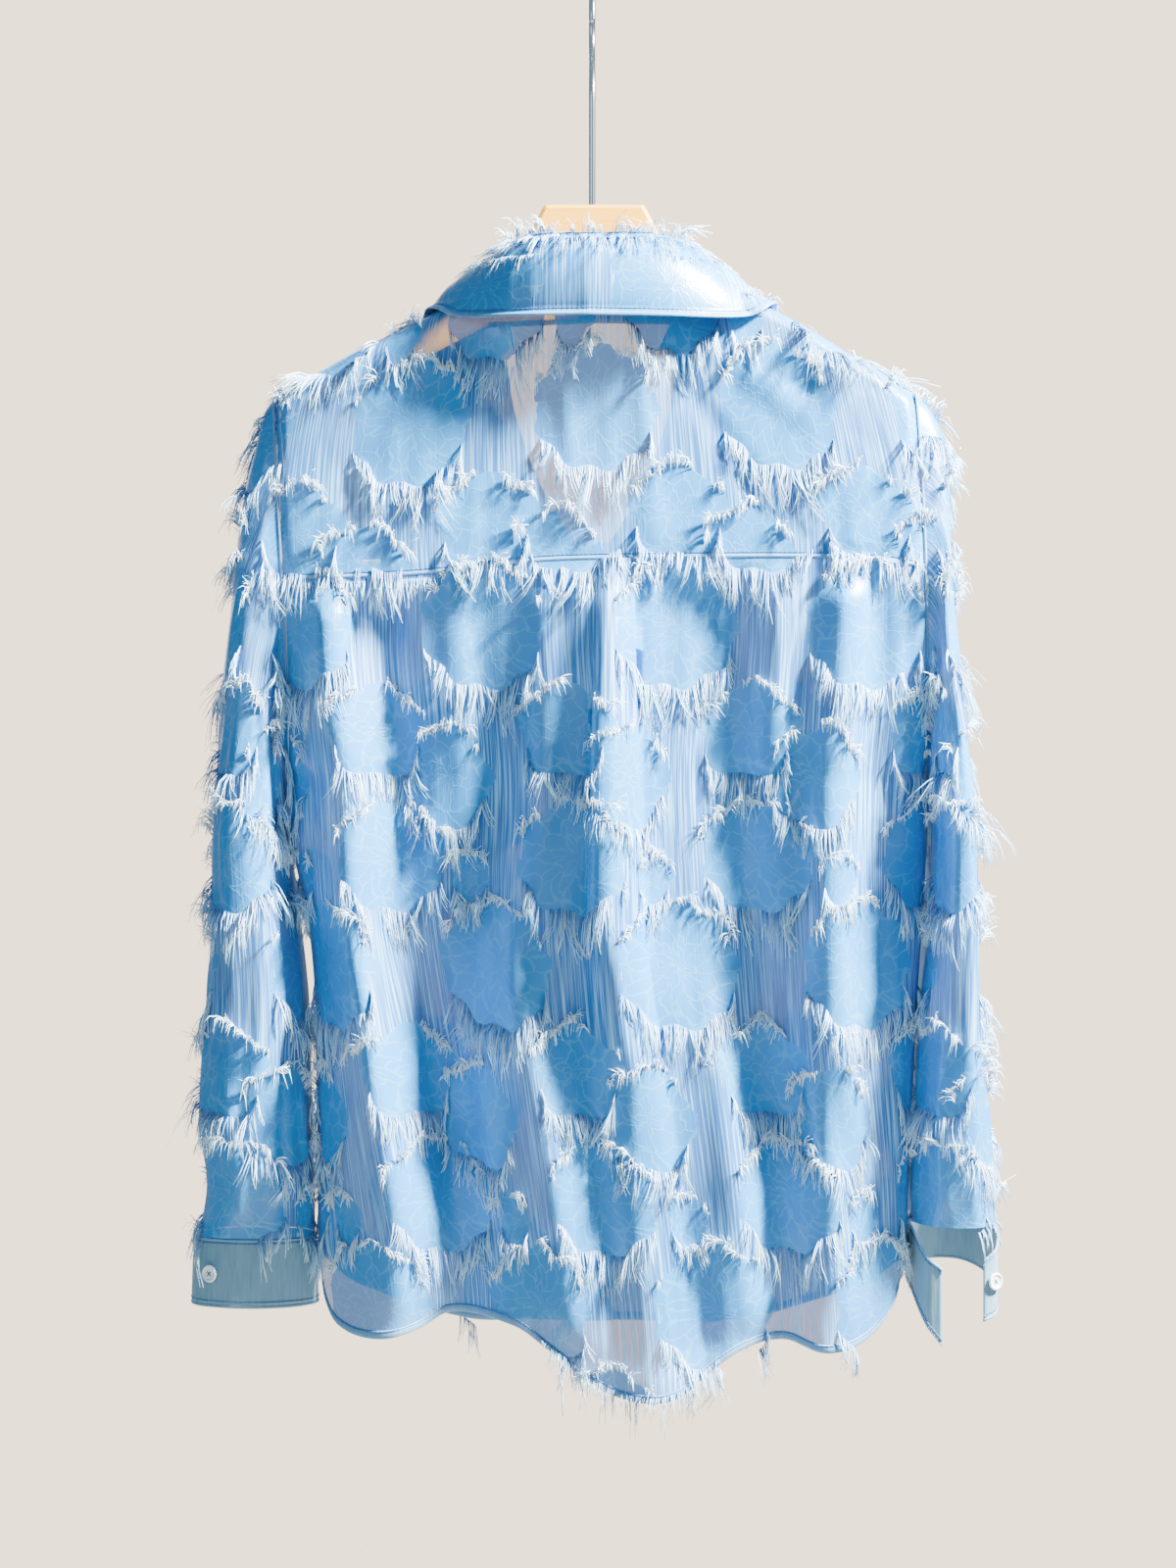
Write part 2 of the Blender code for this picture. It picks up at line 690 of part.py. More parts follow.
def placket():
    columns = (1 - PLACKET_SHARE, 1 - PLACKET_SHARE / 2, 1.0)
    lift = (WALL + LAYER_GAP) * 1.15
    wall("placket", columns, FRONT_ROWS, lambda u, v: front_point(1, u, v, lift), FORWARD)


def pocket(panel):
    lift = (WALL + LAYER_GAP) * 1.1
    trees = [facets(panel)]
    wall(
        "pocket",
        shares(7),
        shares(7),
        lambda s, v: laid(trees, pocket_point(s, v), 1, lift),
        FORWARD,
    )


def collar():
    ends = [c / 14 for c in range(-14, 15)]
    wall("collar_leaf", ends, (0, 0.06, 0.2, 0.4, 0.6, 0.8, 1.0), leaf_point, BACKWARD)
    wall("collar_stand", [c * STAND_END for c in ends[::2]], shares(2), stand_point, BACKWARD)


def sleeves():
    rows = [0, 0.008, 0.02, 0.045, 0.08, 0.13, 0.19, 0.25, 0.31]
    rows += [0.36 + 0.64 * share for share in shares(9)]
    for name, hand in (("sleeve_left", -1), ("sleeve_right", 1)):
        turns = shares(18)
        wall(
            name,
            turns,
            rows,
            lambda turn, w, hand=hand: sleeve_point(hand, turn % 1.0, w),
            Vector((-hand, 0, 0)),
            closed=True,
        )


def cuffs():
    wall("cuff_left", shares(26), shares(2), left_cuff_point, Vector((1, 0, 0)))
    wall("cuff_right", shares(22), shares(3), right_cuff_point, FORWARD)


def button(name, centre, outward):
    """A turned button with a raised rim, sewn flat on the cloth."""
    rim, dish = BUTTON_RADIUS * 0.72, BUTTON_THICK * 0.72
    profile = (
        (0.0, dish),
        (rim * 0.9, dish),
        (rim, BUTTON_THICK),
        (BUTTON_RADIUS * 0.93, BUTTON_THICK),
        (BUTTON_RADIUS, BUTTON_THICK * 0.6),
        (BUTTON_RADIUS * 0.9, 0.0),
        (0.0, 0.0),
    )
    bm = bmesh.new()
    points = [bm.verts.new((radius, 0, height)) for radius, height in profile]
    for start, end in zip(points, points[1:]):
        bm.edges.new((start, end))
    bmesh.ops.spin(
        bm,
        geom=bm.verts[:] + bm.edges[:],
        cent=(0, 0, 0),
        axis=(0, 0, 1),
        angle=2 * math.pi,
        steps=14,
        use_merge=True,
    )
    bmesh.ops.remove_doubles(bm, verts=bm.verts, dist=0.00001)
    bmesh.ops.recalc_face_normals(bm, faces=bm.faces)
    mesh = bpy.data.meshes.new(name)
    bm.to_mesh(mesh)
    bm.free()
    made = object_from(name, mesh, material("button", BUTTON_WHITE, 0.25))
    made.rotation_euler = outward.to_track_quat("Z", "Y").to_euler()
    made.location = centre


def surface_normal(place, a, b, step=0.004):
    """The direction square to a surface at a point, from its neighbours."""
    along = place(a + step, b) - place(a - step, b)
    down = place(a, b + step) - place(a, b - step)
    return along.cross(down).normalized()


def buttons():
    seat = (WALL + LAYER_GAP) * 1.15 + 0.0004
    for i in range(BUTTON_COUNT):
        z = BUTTON_TOP - BUTTON_PITCH * i
        depth = max(parted(body_depth(x, z, True), z) for x in (-0.0055, 0.0, 0.0055)) + seat
        button(f"button_{i + 1}", Vector((0.0, depth, z)), FORWARD)
    x, z = COLLAR_BUTTON
    tilt = Vector((-0.12, 1.0, -0.02)).normalized()
    button("button_collar", Vector((x, body_depth(x, z, True) + 0.0009, z)), tilt)
    x, z = CUFF_BUTTON
    top, outer, inner, middle, half = LEFT_CUFF
    share = (x - (outer + inner) / 2) / (abs(outer - inner) / 2)
    slope = Vector((share / (abs(outer - inner) / 2), -math.sqrt(1 - share**2) / half, 0)).normalized()
    y = middle - half * math.sqrt(1 - share**2)
    button("button_cuff_left", Vector((x, y, z)) + slope * (WALL + LAYER_GAP) * 1.35, slope)
    place = right_cuff_point(0.965, 0.45)
    facing = Vector((0.55, -0.83, 0)).normalized()
    button("button_cuff_right", place + facing * 0.0005, facing)


def arm_top(out, hand):
    """The arm's top edge under the shoulder, set lower where it passes under the neck edge."""
    x = HANGER_X + hand * out
    return read(SHOULDER, x) - HANGER_CLEAR - NECK_CLEAR * (1 - ease((out - 0.070) / 0.022))


def hanger_outline():
    """The flat hanger's outline, clockwise from the block's top right."""
    arm = [0.0700 + (HANGER_REACH - 0.0700) * share for share in shares(6)]
    sides = []
    for hand in (1, -1):
        side = [(HANGER_X + hand * out, z) for out, z in BLOCK_SIDE]
        side += [(HANGER_X + hand * out, arm_top(out, hand)) for out in arm]
        tip = arm_top(HANGER_REACH, hand)
        side += [
            (HANGER_X + hand * (HANGER_REACH + 0.004), tip - HANGER_DEPTH * share)
            for share in (0.35, 0.7)
        ]
        side += [
            (HANGER_X + hand * out, arm_top(out, hand) - HANGER_DEPTH)
            for out in (arm[-1] - 0.004, arm[4], arm[2], arm[0])
        ]
        sides.append(side)
    bottom = [(HANGER_X, BLOCK_TOP - HANGER_BLOCK_DEEP)]
    return sides[0] + bottom + sides[1][::-1]


def flat_board(name, outline, thick, edge, finish):
    """A board standing in the XZ plane, with eased edges."""
    bm = bmesh.new()
    corners = [bm.verts.new((x, -thick / 2, z)) for x, z in outline]
    face = bm.faces.new(corners)
    grown = bmesh.ops.extrude_face_region(bm, geom=[face])
    moved = [item for item in grown["geom"] if isinstance(item, bmesh.types.BMVert)]
    bmesh.ops.translate(bm, verts=moved, vec=(0, thick, 0))
    bmesh.ops.recalc_face_normals(bm, faces=bm.faces)
    mesh = bpy.data.meshes.new(name)
    bm.to_mesh(mesh)
    bm.free()
    made = object_from(name, mesh, finish, 30.0)
    bevel = made.modifiers.new("edge", "BEVEL")
    bevel.width = edge
    bevel.segments = 2
    bevel.limit_method = "ANGLE"
    bevel.angle_limit = math.radians(60)
    return made


def hanger():
    wood = material("wood", WOOD_PALE, 0.45)
    board = flat_board("hanger_board", hanger_outline(), HANGER_THICK, HANGER_EDGE, wood)
    drill = bmesh.new()
    bmesh.ops.create_cone(
        drill,
        cap_ends=True,
        segments=16,
        radius1=HOOK_WIRE + 0.0003,
        radius2=HOOK_WIRE + 0.0003,
        depth=2 * HOOK_SET_IN,
    )
    mesh = bpy.data.meshes.new("hook_socket")
    drill.to_mesh(mesh)
    drill.free()
    cutter = bpy.data.objects.new("hook_socket", mesh)
    cutter.location = (0, 0, BLOCK_TOP)
    cutter.hide_render = True
    cutter.display_type = "WIRE"
    bpy.data.collections["cutters"].objects.link(cutter)
    cut = board.modifiers.new("socket", "BOOLEAN")
    cut.object = cutter


def hook_route():
    """The hook's centreline: up from the block, out behind the rail, over it and down."""
    radius = HOOK_INSIDE + HOOK_WIRE
    centre = -HOOK_INSIDE
    route = [Vector((0, 0, BLOCK_TOP - HOOK_SET_IN + 0.0004))]
    route += [Vector((0, 0, z)) for z in (BLOCK_TOP, -0.110, -0.080, -0.066)]
    for share in shares(4)[1:-1]:
        start, corner = Vector((0, 0, -0.066)), Vector((0, 0.0010, -0.0520))
        end = Vector((0, radius * math.cos(-0.70), centre + radius * math.sin(-0.70)))
        route.append(start.lerp(corner, share).lerp(corner.lerp(end, share), share))
    for step in range(15):
        angle = -0.70 + (math.pi + 0.80) * step / 14
        route.append(Vector((0, radius * math.cos(angle), centre + radius * math.sin(angle))))
    return route


def hook():
    curve = bpy.data.curves.new("hanger_hook", "CURVE")
    curve.dimensions = "3D"
    curve.bevel_depth = HOOK_WIRE
    curve.bevel_resolution = 2
    curve.use_fill_caps = True
    spline = curve.splines.new("POLY")
    route = hook_route()
    spline.points.add(len(route) - 1)
    for point, place in zip(spline.points, route):
        point.co = (*place, 1.0)
    curve.materials.append(material("steel", STEEL_GREY, 0.25, 1.0))
    made = bpy.data.objects.new("hanger_hook", curve)
    bpy.data.collections["fringed_shirt"].objects.link(made)


def fringe(name, locks, place, length, lean, droop=Vector((0, 0, -1)), sway=0.0006):
    """A row of locks hanging from a narrow strip.

    place gives the cloth's point and outward direction for a share along the row and a drop
    below it. lean is how far the locks' tips stand off the cloth, and sway tips them sideways.
    """
    bm = bmesh.new()
    bmesh.ops.create_grid(bm, x_segments=locks, y_segments=1, size=0.5)
    grown = bmesh.ops.extrude_face_region(bm, geom=bm.faces[:])
    for item in grown["geom"]:
        if isinstance(item, bmesh.types.BMVert):
            item.co.z = 1.0
    roots = [f for f in bm.faces if all(v.co.y < -0.49 for v in f.verts)]
    roots.sort(key=lambda f: sum(v.co.x for v in f.verts))
    for vert in bm.verts:
        point, out = place(vert.co.x + 0.5, FRINGE_WIDTH if vert.co.y < 0 else 0.0)
        vert.co = point + out * (FRINGE_OFF + FRINGE_THICK * vert.co.z)
    for i, face in enumerate(roots):
        share = sum((v.co for v in face.verts), Vector()) / 4
        out = place((i + 0.5) / locks, 0.0)[1]
        along = (place((i + 1) / locks, 0.0)[0] - place(i / locks, 0.0)[0]).normalized()
        down = (droop - out * droop.dot(out)).normalized()
        wave = math.sin(2.4 * i + len(name))
        reach = length * (0.86 + 0.14 * wave)
        tip = share + down * reach + out * (lean * (0.8 + 0.2 * wave)) + along * sway * wave
        grown = bmesh.ops.extrude_discrete_faces(bm, faces=[face])
        for vert in grown["faces"][0].verts:
            vert.co = tip + (vert.co - share) * LOCK_TIP
    bmesh.ops.recalc_face_normals(bm, faces=bm.faces)
    mesh = bpy.data.meshes.new(name)
    bm.to_mesh(mesh)
    bm.free()
    object_from(name, mesh, material("fringe", FRINGE_BLUE, 0.4), 25.0)


def row_on_body(trees, x_start, x_end, z_start, z_end, arch, front):
    """A fringe row on the body, which bends down or up in its middle by arch."""
    sign = 1 if front else -1

    def surface(x, z):
        return laid(trees, Vector((x, sign * parted(body_depth(x, z, front), z), z)), sign, 0.0)

    def place(share, drop):
        x = x_start + (x_end - x_start) * share
        z = z_start + (z_end - z_start) * share + arch * math.sin(math.pi * share) - drop
        normal = surface_normal(surface, x, z, 0.004)
        if normal.y * sign < 0:
            normal = -normal
        return surface(x, z), normal

    return place


def row_on_sleeve(hand, turn_start, turn_end, w_start, w_end):
    """A fringe row on a sleeve."""
    def surface(a, b):
        return sleeve_point(hand, a % 1.0, b)

    def place(share, drop):
        turn = turn_start + (turn_end - turn_start) * share
        w = w_start + (w_end - w_start) * share + drop / SLEEVE_LONG
        normal = surface_normal(surface, turn, w, 0.01)
        centre = sum((surface(k / 8, w) for k in range(8)), Vector()) / 8
        point = surface(turn, w)
        if normal.dot(point - centre) < 0:
            normal = -normal
        return point, normal

    return place


def row_on_collar(c_start, c_end, v):
    """A fringe row on the collar leaf."""
    def place(share, drop):
        c = c_start + (c_end - c_start) * share
        low = v + drop / LEAF_DEEP
        normal = surface_normal(leaf_point, c, low, 0.02)
        if normal.dot(collar_out(c)) < 0:
            normal = -normal
        return leaf_point(c, low), normal

    return place


# Fringe rows on the body: name, start across, end across, start height, end height, arch,
# on the front, locks, lock length, stand-off.
BODY_ROWS = (
    ("fringe_yoke_1", -0.150, -0.096, -0.246, -0.238, -0.004, False, 9, 0.017, 0.0050),
    ("fringe_yoke_2", 0.072, 0.122, -0.236, -0.246, 0.000, False, 8, 0.017, 0.0050),
    ("fringe_yoke_3", -0.186, -0.128, -0.332, -0.338, 0.004, False, 9, 0.018, 0.0040),
    ("fringe_yoke_4", 0.148, 0.202, -0.308, -0.296, -0.006, False, 8, 0.022, 0.0050),
    ("fringe_back_1", -0.186, -0.124, -0.396, -0.396, 0.000, False, 9, 0.018, 0.0045),
    ("fringe_back_2", -0.116, -0.042, -0.458, -0.462, -0.012, False, 10, 0.021, 0.0040),
    ("fringe_back_3", 0.040, 0.084, -0.462, -0.458, -0.006, False, 7, 0.022, 0.0040),
    ("fringe_back_4", 0.146, 0.206, -0.454, -0.450, -0.008, False, 8, 0.022, 0.0050),
    ("fringe_back_5", -0.182, -0.118, -0.534, -0.520, -0.014, False, 9, 0.020, 0.0045),
    ("fringe_back_6", -0.100, -0.050, -0.556, -0.548, -0.006, False, 7, 0.018, 0.0040),
    ("fringe_back_7", 0.074, 0.148, -0.600, -0.598, -0.010, False, 10, 0.020, 0.0040),
    ("fringe_back_8", -0.166, -0.116, -0.634, -0.634, -0.004, False, 7, 0.026, 0.0045),
    ("fringe_back_9", 0.050, 0.096, -0.692, -0.690, -0.010, False, 7, 0.024, 0.0045),
    ("fringe_back_10", 0.142, 0.198, -0.690, -0.688, -0.008, False, 8, 0.024, 0.0050),
    ("fringe_back_11", -0.166, -0.112, -0.764, -0.760, -0.014, False, 8, 0.018, 0.0045),
    ("fringe_back_12", 0.076, 0.142, -0.822, -0.822, 0.008, False, 9, 0.022, 0.0040),
    ("fringe_hem", 0.014, 0.056, -0.9090, -0.9090, -0.0030, False, 8, 0.0260, 0.0030),
    ("fringe_front_1", -0.170, -0.100, -0.400, -0.396, -0.010, True, 8, 0.020, 0.0045),
    ("fringe_front_2", 0.060, 0.130, -0.470, -0.466, -0.012, True, 8, 0.020, 0.0045),
    ("fringe_front_3", -0.160, -0.080, -0.640, -0.644, -0.012, True, 8, 0.020, 0.0045),
    ("fringe_front_4", 0.080, 0.160, -0.700, -0.696, -0.012, True, 8, 0.020, 0.0045),
    ("fringe_front_5", -0.150, -0.070, -0.810, -0.812, -0.010, True, 8, 0.020, 0.0045),
)
# Fringe rows on the sleeves: name, hand, start turn, end turn, start and end share down,
# locks, lock length, stand-off.
SLEEVE_ROWS = (
    ("fringe_sleeve_left_1", -1, -0.03, 0.14, 0.20, 0.17, 6, 0.020, 0.0090),
    ("fringe_sleeve_left_2", -1, -0.04, 0.14, 0.46, 0.46, 6, 0.022, 0.0100),
    ("fringe_sleeve_left_3", -1, -0.06, 0.11, 0.785, 0.785, 6, 0.024, 0.0120),
    ("fringe_sleeve_right_1", 1, -0.03, 0.14, 0.24, 0.22, 6, 0.022, 0.0090),
    ("fringe_sleeve_right_2", 1, -0.04, 0.14, 0.48, 0.48, 6, 0.024, 0.0100),
    ("fringe_sleeve_right_3", 1, -0.03, 0.14, 0.82, 0.82, 6, 0.024, 0.0090),
)


def fringes(backs, panels):
    back_trees, front_trees = [facets(piece) for piece in backs], [facets(piece) for piece in panels]
    for name, x0, x1, z0, z1, arch, front, locks, length, lean in BODY_ROWS:
        place = row_on_body(front_trees if front else back_trees, x0, x1, z0, z1, arch, front)
        fringe(name, locks, place, length, lean)
    for name, hand, t0, t1, w0, w1, locks, length, lean in SLEEVE_ROWS:
        fringe(name, locks, row_on_sleeve(hand, t0, t1, w0, w1), length, lean)
    fringe("fringe_collar", 9, row_on_collar(-0.42, 0.34, 0.10), 0.017, 0.0060)


def clear_scene():
    for item in list(bpy.data.objects):
        bpy.data.objects.remove(item)
    for name in ("fringed_shirt", "cutters"):
        made = bpy.data.collections.new(name)
        bpy.context.scene.collection.children.link(made)


def main():
    clear_scene()
    backs = [yoke(), back_panel()]
    panels = fronts()
    placket()
    pocket(panels[0])
    collar()
    sleeves()
    cuffs()
    buttons()
    hanger()
    hook()
    fringes(backs, panels)


main()
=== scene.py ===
# %% [markdown]
# # A sheer fringed shirt on a wooden hanger
#
# The real shirt is sewn from a clipped jacquard: a thin see-through cloth with satin flowers
# woven into it. Behind the cloth the flowers' threads run loose from one flower to the next.
# They are cut and pulled to the right side, so every flower ends in a fringe of threads.
# This script dresses the plain solids of the shirt: thin panels of cloth with soft creases,
# the flowers as a pattern in the cloth, and each fringe as real threads.
# Units are metres. -Y is the wearer's back, which the camera sees, and +Z is up.

import math

import bmesh
import bpy
import numpy as np
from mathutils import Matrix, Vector
from mathutils.kdtree import KDTree


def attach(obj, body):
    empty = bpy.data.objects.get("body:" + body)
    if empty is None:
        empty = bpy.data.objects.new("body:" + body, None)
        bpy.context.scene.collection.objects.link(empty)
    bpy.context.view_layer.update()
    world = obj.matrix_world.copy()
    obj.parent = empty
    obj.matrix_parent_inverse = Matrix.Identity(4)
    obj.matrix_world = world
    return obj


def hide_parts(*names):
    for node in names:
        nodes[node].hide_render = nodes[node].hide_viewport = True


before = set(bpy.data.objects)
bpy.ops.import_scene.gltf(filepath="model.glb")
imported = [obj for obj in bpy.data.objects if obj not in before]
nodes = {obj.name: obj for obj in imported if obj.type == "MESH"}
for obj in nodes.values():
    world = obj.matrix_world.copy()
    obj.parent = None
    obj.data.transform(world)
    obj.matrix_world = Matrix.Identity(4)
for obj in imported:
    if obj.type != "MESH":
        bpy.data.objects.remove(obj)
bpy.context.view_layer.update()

# %% [markdown]
# ## Sizes that the cloth hangs by
#
# A garment is easiest to describe by a few measured lines: its sides, the line where it goes
# over the shoulders, its seams and its hems. Each line is a short table, and a smooth curve is
# read through its rows. The same tables shaped the solids, so the cloth lies where they are.

# %% Reading a measured line
def read(table, at, column=1):
    """A column's value at a place in a table, on a smooth curve through its rows."""
    if table[0][0] > table[-1][0]:
        table = table[::-1]
    if at <= table[0][0]:
        return table[0][column]
    if at >= table[-1][0]:
        return table[-1][column]
    i = next(k for k in range(len(table) - 1) if at <= table[k + 1][0])
    x0, x1 = table[i][0], table[i + 1][0]
    y0, y1 = table[i][column], table[i + 1][column]
    before, after = table[max(i - 1, 0)], table[min(i + 2, len(table) - 1)]
    slope0 = (y1 - before[column]) / (x1 - before[0])
    slope1 = (after[column] - y0) / (after[0] - x0)
    span, t = x1 - x0, (at - x0) / (x1 - x0)
    return (
        y0 * (1 + 2 * t) * (1 - t) ** 2
        + slope0 * span * t * (1 - t) ** 2
        + y1 * t * t * (3 - 2 * t)
        + slope1 * span * t * t * (t - 1)
    )


def ease(t):
    """0 to 1 with level ends."""
    t = min(1.0, max(0.0, t))
    return t * t * (3 - 2 * t)


# %% The body's lines
WALL = 0.0013
SEAM_GAP = 0.0008
SIDE_GAP = 0.0007
LAYER_GAP = 0.0005
ROUND = 0.012
# Height, wearer's left side, wearer's right side, depth of the back, depth of the front.
BODY = (
    (-0.170, -0.2083, 0.2114, 0.019, 0.020),
    (-0.270, -0.2083, 0.2134, 0.024, 0.028),
    (-0.380, -0.2022, 0.2175, 0.031, 0.037),
    (-0.460, -0.1996, 0.2195, 0.035, 0.041),
    (-0.560, -0.1996, 0.2216, 0.038, 0.043),
    (-0.610, -0.1890, 0.2195, 0.040, 0.044),
    (-0.670, -0.1834, 0.2155, 0.041, 0.045),
    (-0.780, -0.1819, 0.2104, 0.043, 0.046),
    (-0.860, -0.1813, 0.2073, 0.044, 0.046),
    (-0.960, -0.1808, 0.2033, 0.045, 0.046),
)
LEFT, RIGHT, BACK_DEPTH, FRONT_DEPTH = 1, 2, 3, 4
# Across, height of the line where the cloth goes over the shoulders.
SHOULDER = (
    (-0.2083, -0.2689),
    (-0.1978, -0.2614),
    (-0.1586, -0.2384),
    (-0.1128, -0.2171),
    (-0.0710, -0.1932),
    (-0.0500, -0.1815),
    (0.0000, -0.1693),
    (0.0500, -0.1795),
    (0.0710, -0.1896),
    (0.1260, -0.2130),
    (0.1795, -0.2451),
    (0.2134, -0.2669),
)
UNDERARM = -0.518
ARMHOLE_BACK = 0.026
ARMHOLE_FRONT = 0.031
ARMHOLE_CURVE = 0.45
# Height, how square the body's section is.
SQUARENESS = ((-0.300, 5.0), (-0.360, 3.6), (-0.430, 2.7), (-0.900, 2.5))
NECK_X = -0.003
NECK_HEIGHT = -0.200
NECK_BULGE_BACK = 0.025
NECK_BULGE_FRONT = 0.030
NECK_WIDE_BACK = 0.050
NECK_WIDE_FRONT = 0.080
NECK_FADE = 0.060
# Across from the neck's middle, how far the yoke's top edge lies behind the shoulder line.
NECK_EDGE = (
    (0.000, 0.043),
    (0.030, 0.038),
    (0.048, 0.026),
    (0.058, 0.012),
    (0.066, -0.003),
    (0.072, -0.014),
    (0.079, -0.020),
    (0.230, -0.020),
)
# Across, height of the seam under the yoke.
YOKE_SEAM = (
    (-0.200, -0.3905),
    (-0.114, -0.3873),
    (-0.040, -0.3790),
    (0.010, -0.3770),
    (0.140, -0.3760),
    (0.190, -0.3780),
    (0.215, -0.3820),
)
# Across, height of the back's shirt-tail hem.
BACK_HEM = (
    (-0.1800, -0.8400),
    (-0.1760, -0.8640),
    (-0.1664, -0.8800),
    (-0.1400, -0.8854),
    (-0.1120, -0.8800),
    (-0.0930, -0.8710),
    (-0.0500, -0.8770),
    (-0.0275, -0.8930),
    (0.0083, -0.9190),
    (0.0330, -0.9245),
    (0.0576, -0.9200),
    (0.0940, -0.8950),
    (0.1248, -0.8880),
    (0.1490, -0.8945),
    (0.1718, -0.8920),
    (0.1880, -0.8820),
    (0.2000, -0.8640),
    (0.2050, -0.8440),
)
# Across, height of the fronts' hem.
FRONT_HEM = (
    (-0.1800, -0.8400),
    (-0.1600, -0.8620),
    (-0.1000, -0.8840),
    (0.0000, -0.8900),
    (0.1200, -0.8860),
    (0.1850, -0.8620),
    (0.2050, -0.8440),
)
# The centre back pleat: height, lift, undercut at each side, half width of its root.
PLEAT = (
    (-0.370, 0.0035, 0.0000, 0.0140),
    (-0.420, 0.0090, 0.0040, 0.0135),
    (-0.520, 0.0140, 0.0080, 0.0140),
    (-0.600, 0.0160, 0.0070, 0.0180),
    (-0.700, 0.0160, 0.0030, 0.0260),
    (-0.930, 0.0140, 0.0000, 0.0360),
)
PLEAT_X = 0.0150
PLEAT_DRIFT = 0.030
PLEAT_SHARE = 0.16
# Hanging folds: middle at the top, middle at the hem, half width, lift at the top, lift at
# the hem, height where the fold starts, height where it is full. A ridge lifts outwards.
BACK_FOLDS = (
    (-0.150, -0.142, 0.040, 0.000, 0.014, -0.330, -0.620),
    (-0.060, -0.088, 0.042, 0.000, -0.017, -0.400, -0.700),
    (0.100, 0.120, 0.036, 0.000, -0.011, -0.400, -0.700),
    (0.165, 0.158, 0.032, 0.000, 0.010, -0.360, -0.620),
)
FRONT_FOLDS = (
    (-0.140, -0.150, 0.040, 0.000, 0.012, -0.330, -0.620),
    (-0.080, -0.075, 0.036, 0.000, -0.012, -0.400, -0.700),
    (0.085, 0.070, 0.036, 0.000, -0.010, -0.380, -0.680),
    (0.150, 0.145, 0.040, 0.000, 0.013, -0.360, -0.640),
)
# The open front edge: height, across from the middle.
FRONT_EDGE = (
    (-0.212, 0.0760),
    (-0.222, 0.0690),
    (-0.232, 0.0620),
    (-0.245, 0.0570),
    (-0.270, 0.0530),
    (-0.300, 0.0440),
    (-0.330, 0.0310),
    (-0.360, 0.0130),
    (-0.385, -0.0060),
    (-0.405, -0.0130),
    (-0.960, -0.0130),
)
PLACKET_WIDTH = 0.027
PLACKET_SHARE = 0.15
UNDERLAP = 0.0048
UNDERLAP_SPREAD = 0.050
SHOULDER_SEAM = 0.0205

# %% The body as a surface
def armhole_gap(z, x, size):
    """Half the armhole's opening at a height: 0 at the shoulder and at the underarm."""
    top = read(SHOULDER, -0.2083 if x < 0 else 0.2134)
    share = (top - z) / (top - UNDERARM)
    if not 0 < share < 1:
        return 0.0
    return size * math.sin(math.pi * share) ** ARMHOLE_CURVE


def fold_lift(folds, x, z):
    """How far the hanging folds lift the cloth outwards."""
    lift = 0.0
    for top_x, hem_x, half, top_lift, hem_lift, start, full in folds:
        down = ease((start - z) / (start - full))
        middle = top_x + (hem_x - top_x) * down
        near = (x - middle) / half
        if abs(near) < 1:
            lift += (top_lift + (hem_lift - top_lift) * down) * (0.5 + 0.5 * math.cos(math.pi * near))
    return lift


def body_depth(x, z, front):
    """How far the cloth lies from the shirt's middle plane, before the pleat."""
    left, right = read(BODY, z, LEFT), read(BODY, z, RIGHT)
    middle, half = (left + right) / 2, (right - left) / 2
    sigma = min(1.0, abs(x - middle) / half)
    square = read(SQUARENESS, z)
    edge = armhole_gap(z, x - middle, ARMHOLE_FRONT if front else ARMHOLE_BACK)
    depth = read(BODY, z, FRONT_DEPTH if front else BACK_DEPTH)
    depth = edge + (depth - edge) * (1 - sigma**square) ** (1 / square)
    wide = NECK_WIDE_FRONT if front else NECK_WIDE_BACK
    bulge = NECK_BULGE_FRONT if front else NECK_BULGE_BACK
    depth += (
        bulge
        * math.exp(-(((x - NECK_X) / wide) ** 2))
        * math.exp(-(((z - NECK_HEIGHT) / NECK_FADE) ** 2))
        * (1 - sigma**4)
    )
    depth += fold_lift(FRONT_FOLDS if front else BACK_FOLDS, x, z) * (1 - sigma**6)
    fall = max(0.0, read(SHOULDER, x) - z)
    return depth * math.sqrt(max(0.0, 1 - (1 - min(1.0, fall / ROUND)) ** 2))


def parted(depth, z):
    """A depth kept clear of the other panel along the side seams."""
    return depth + SIDE_GAP * ease((-0.45 - z) / 0.05)


def side_x(z, s):
    """Across at a height, for s from -1 at the left side to 1 at the right side."""
    left, right = read(BODY, z, LEFT), read(BODY, z, RIGHT)
    return (left + right) / 2 + (right - left) / 2 * s


# %% The yoke goes over the shoulders
def over_shoulder(x, way):
    """The yoke's point at a way measured over the shoulder line, minus to the front."""
    quarter = ROUND * math.pi / 2
    if abs(way) < quarter:
        fall = ROUND * (1 - math.cos(abs(way) / ROUND))
    else:
        fall = ROUND + abs(way) - quarter
    z = read(SHOULDER, x) - fall
    depth = body_depth(x, z, way < 0)
    return Vector((x, depth if way < 0 else -depth, z))


def yoke_point(s, v):
    """The yoke's outer surface: s across from -1 to 1, v from the top edge to the seam."""
    z = -0.30
    for _ in range(6):
        x = side_x(z, s)
        top = read(NECK_EDGE, abs(x - NECK_X))
        fall = read(SHOULDER, x) - read(YOKE_SEAM, x) - SEAM_GAP / 2
        bottom = fall - ROUND + ROUND * math.pi / 2
        point = over_shoulder(x, top + (bottom - top) * v)
        z = point.z
    return point


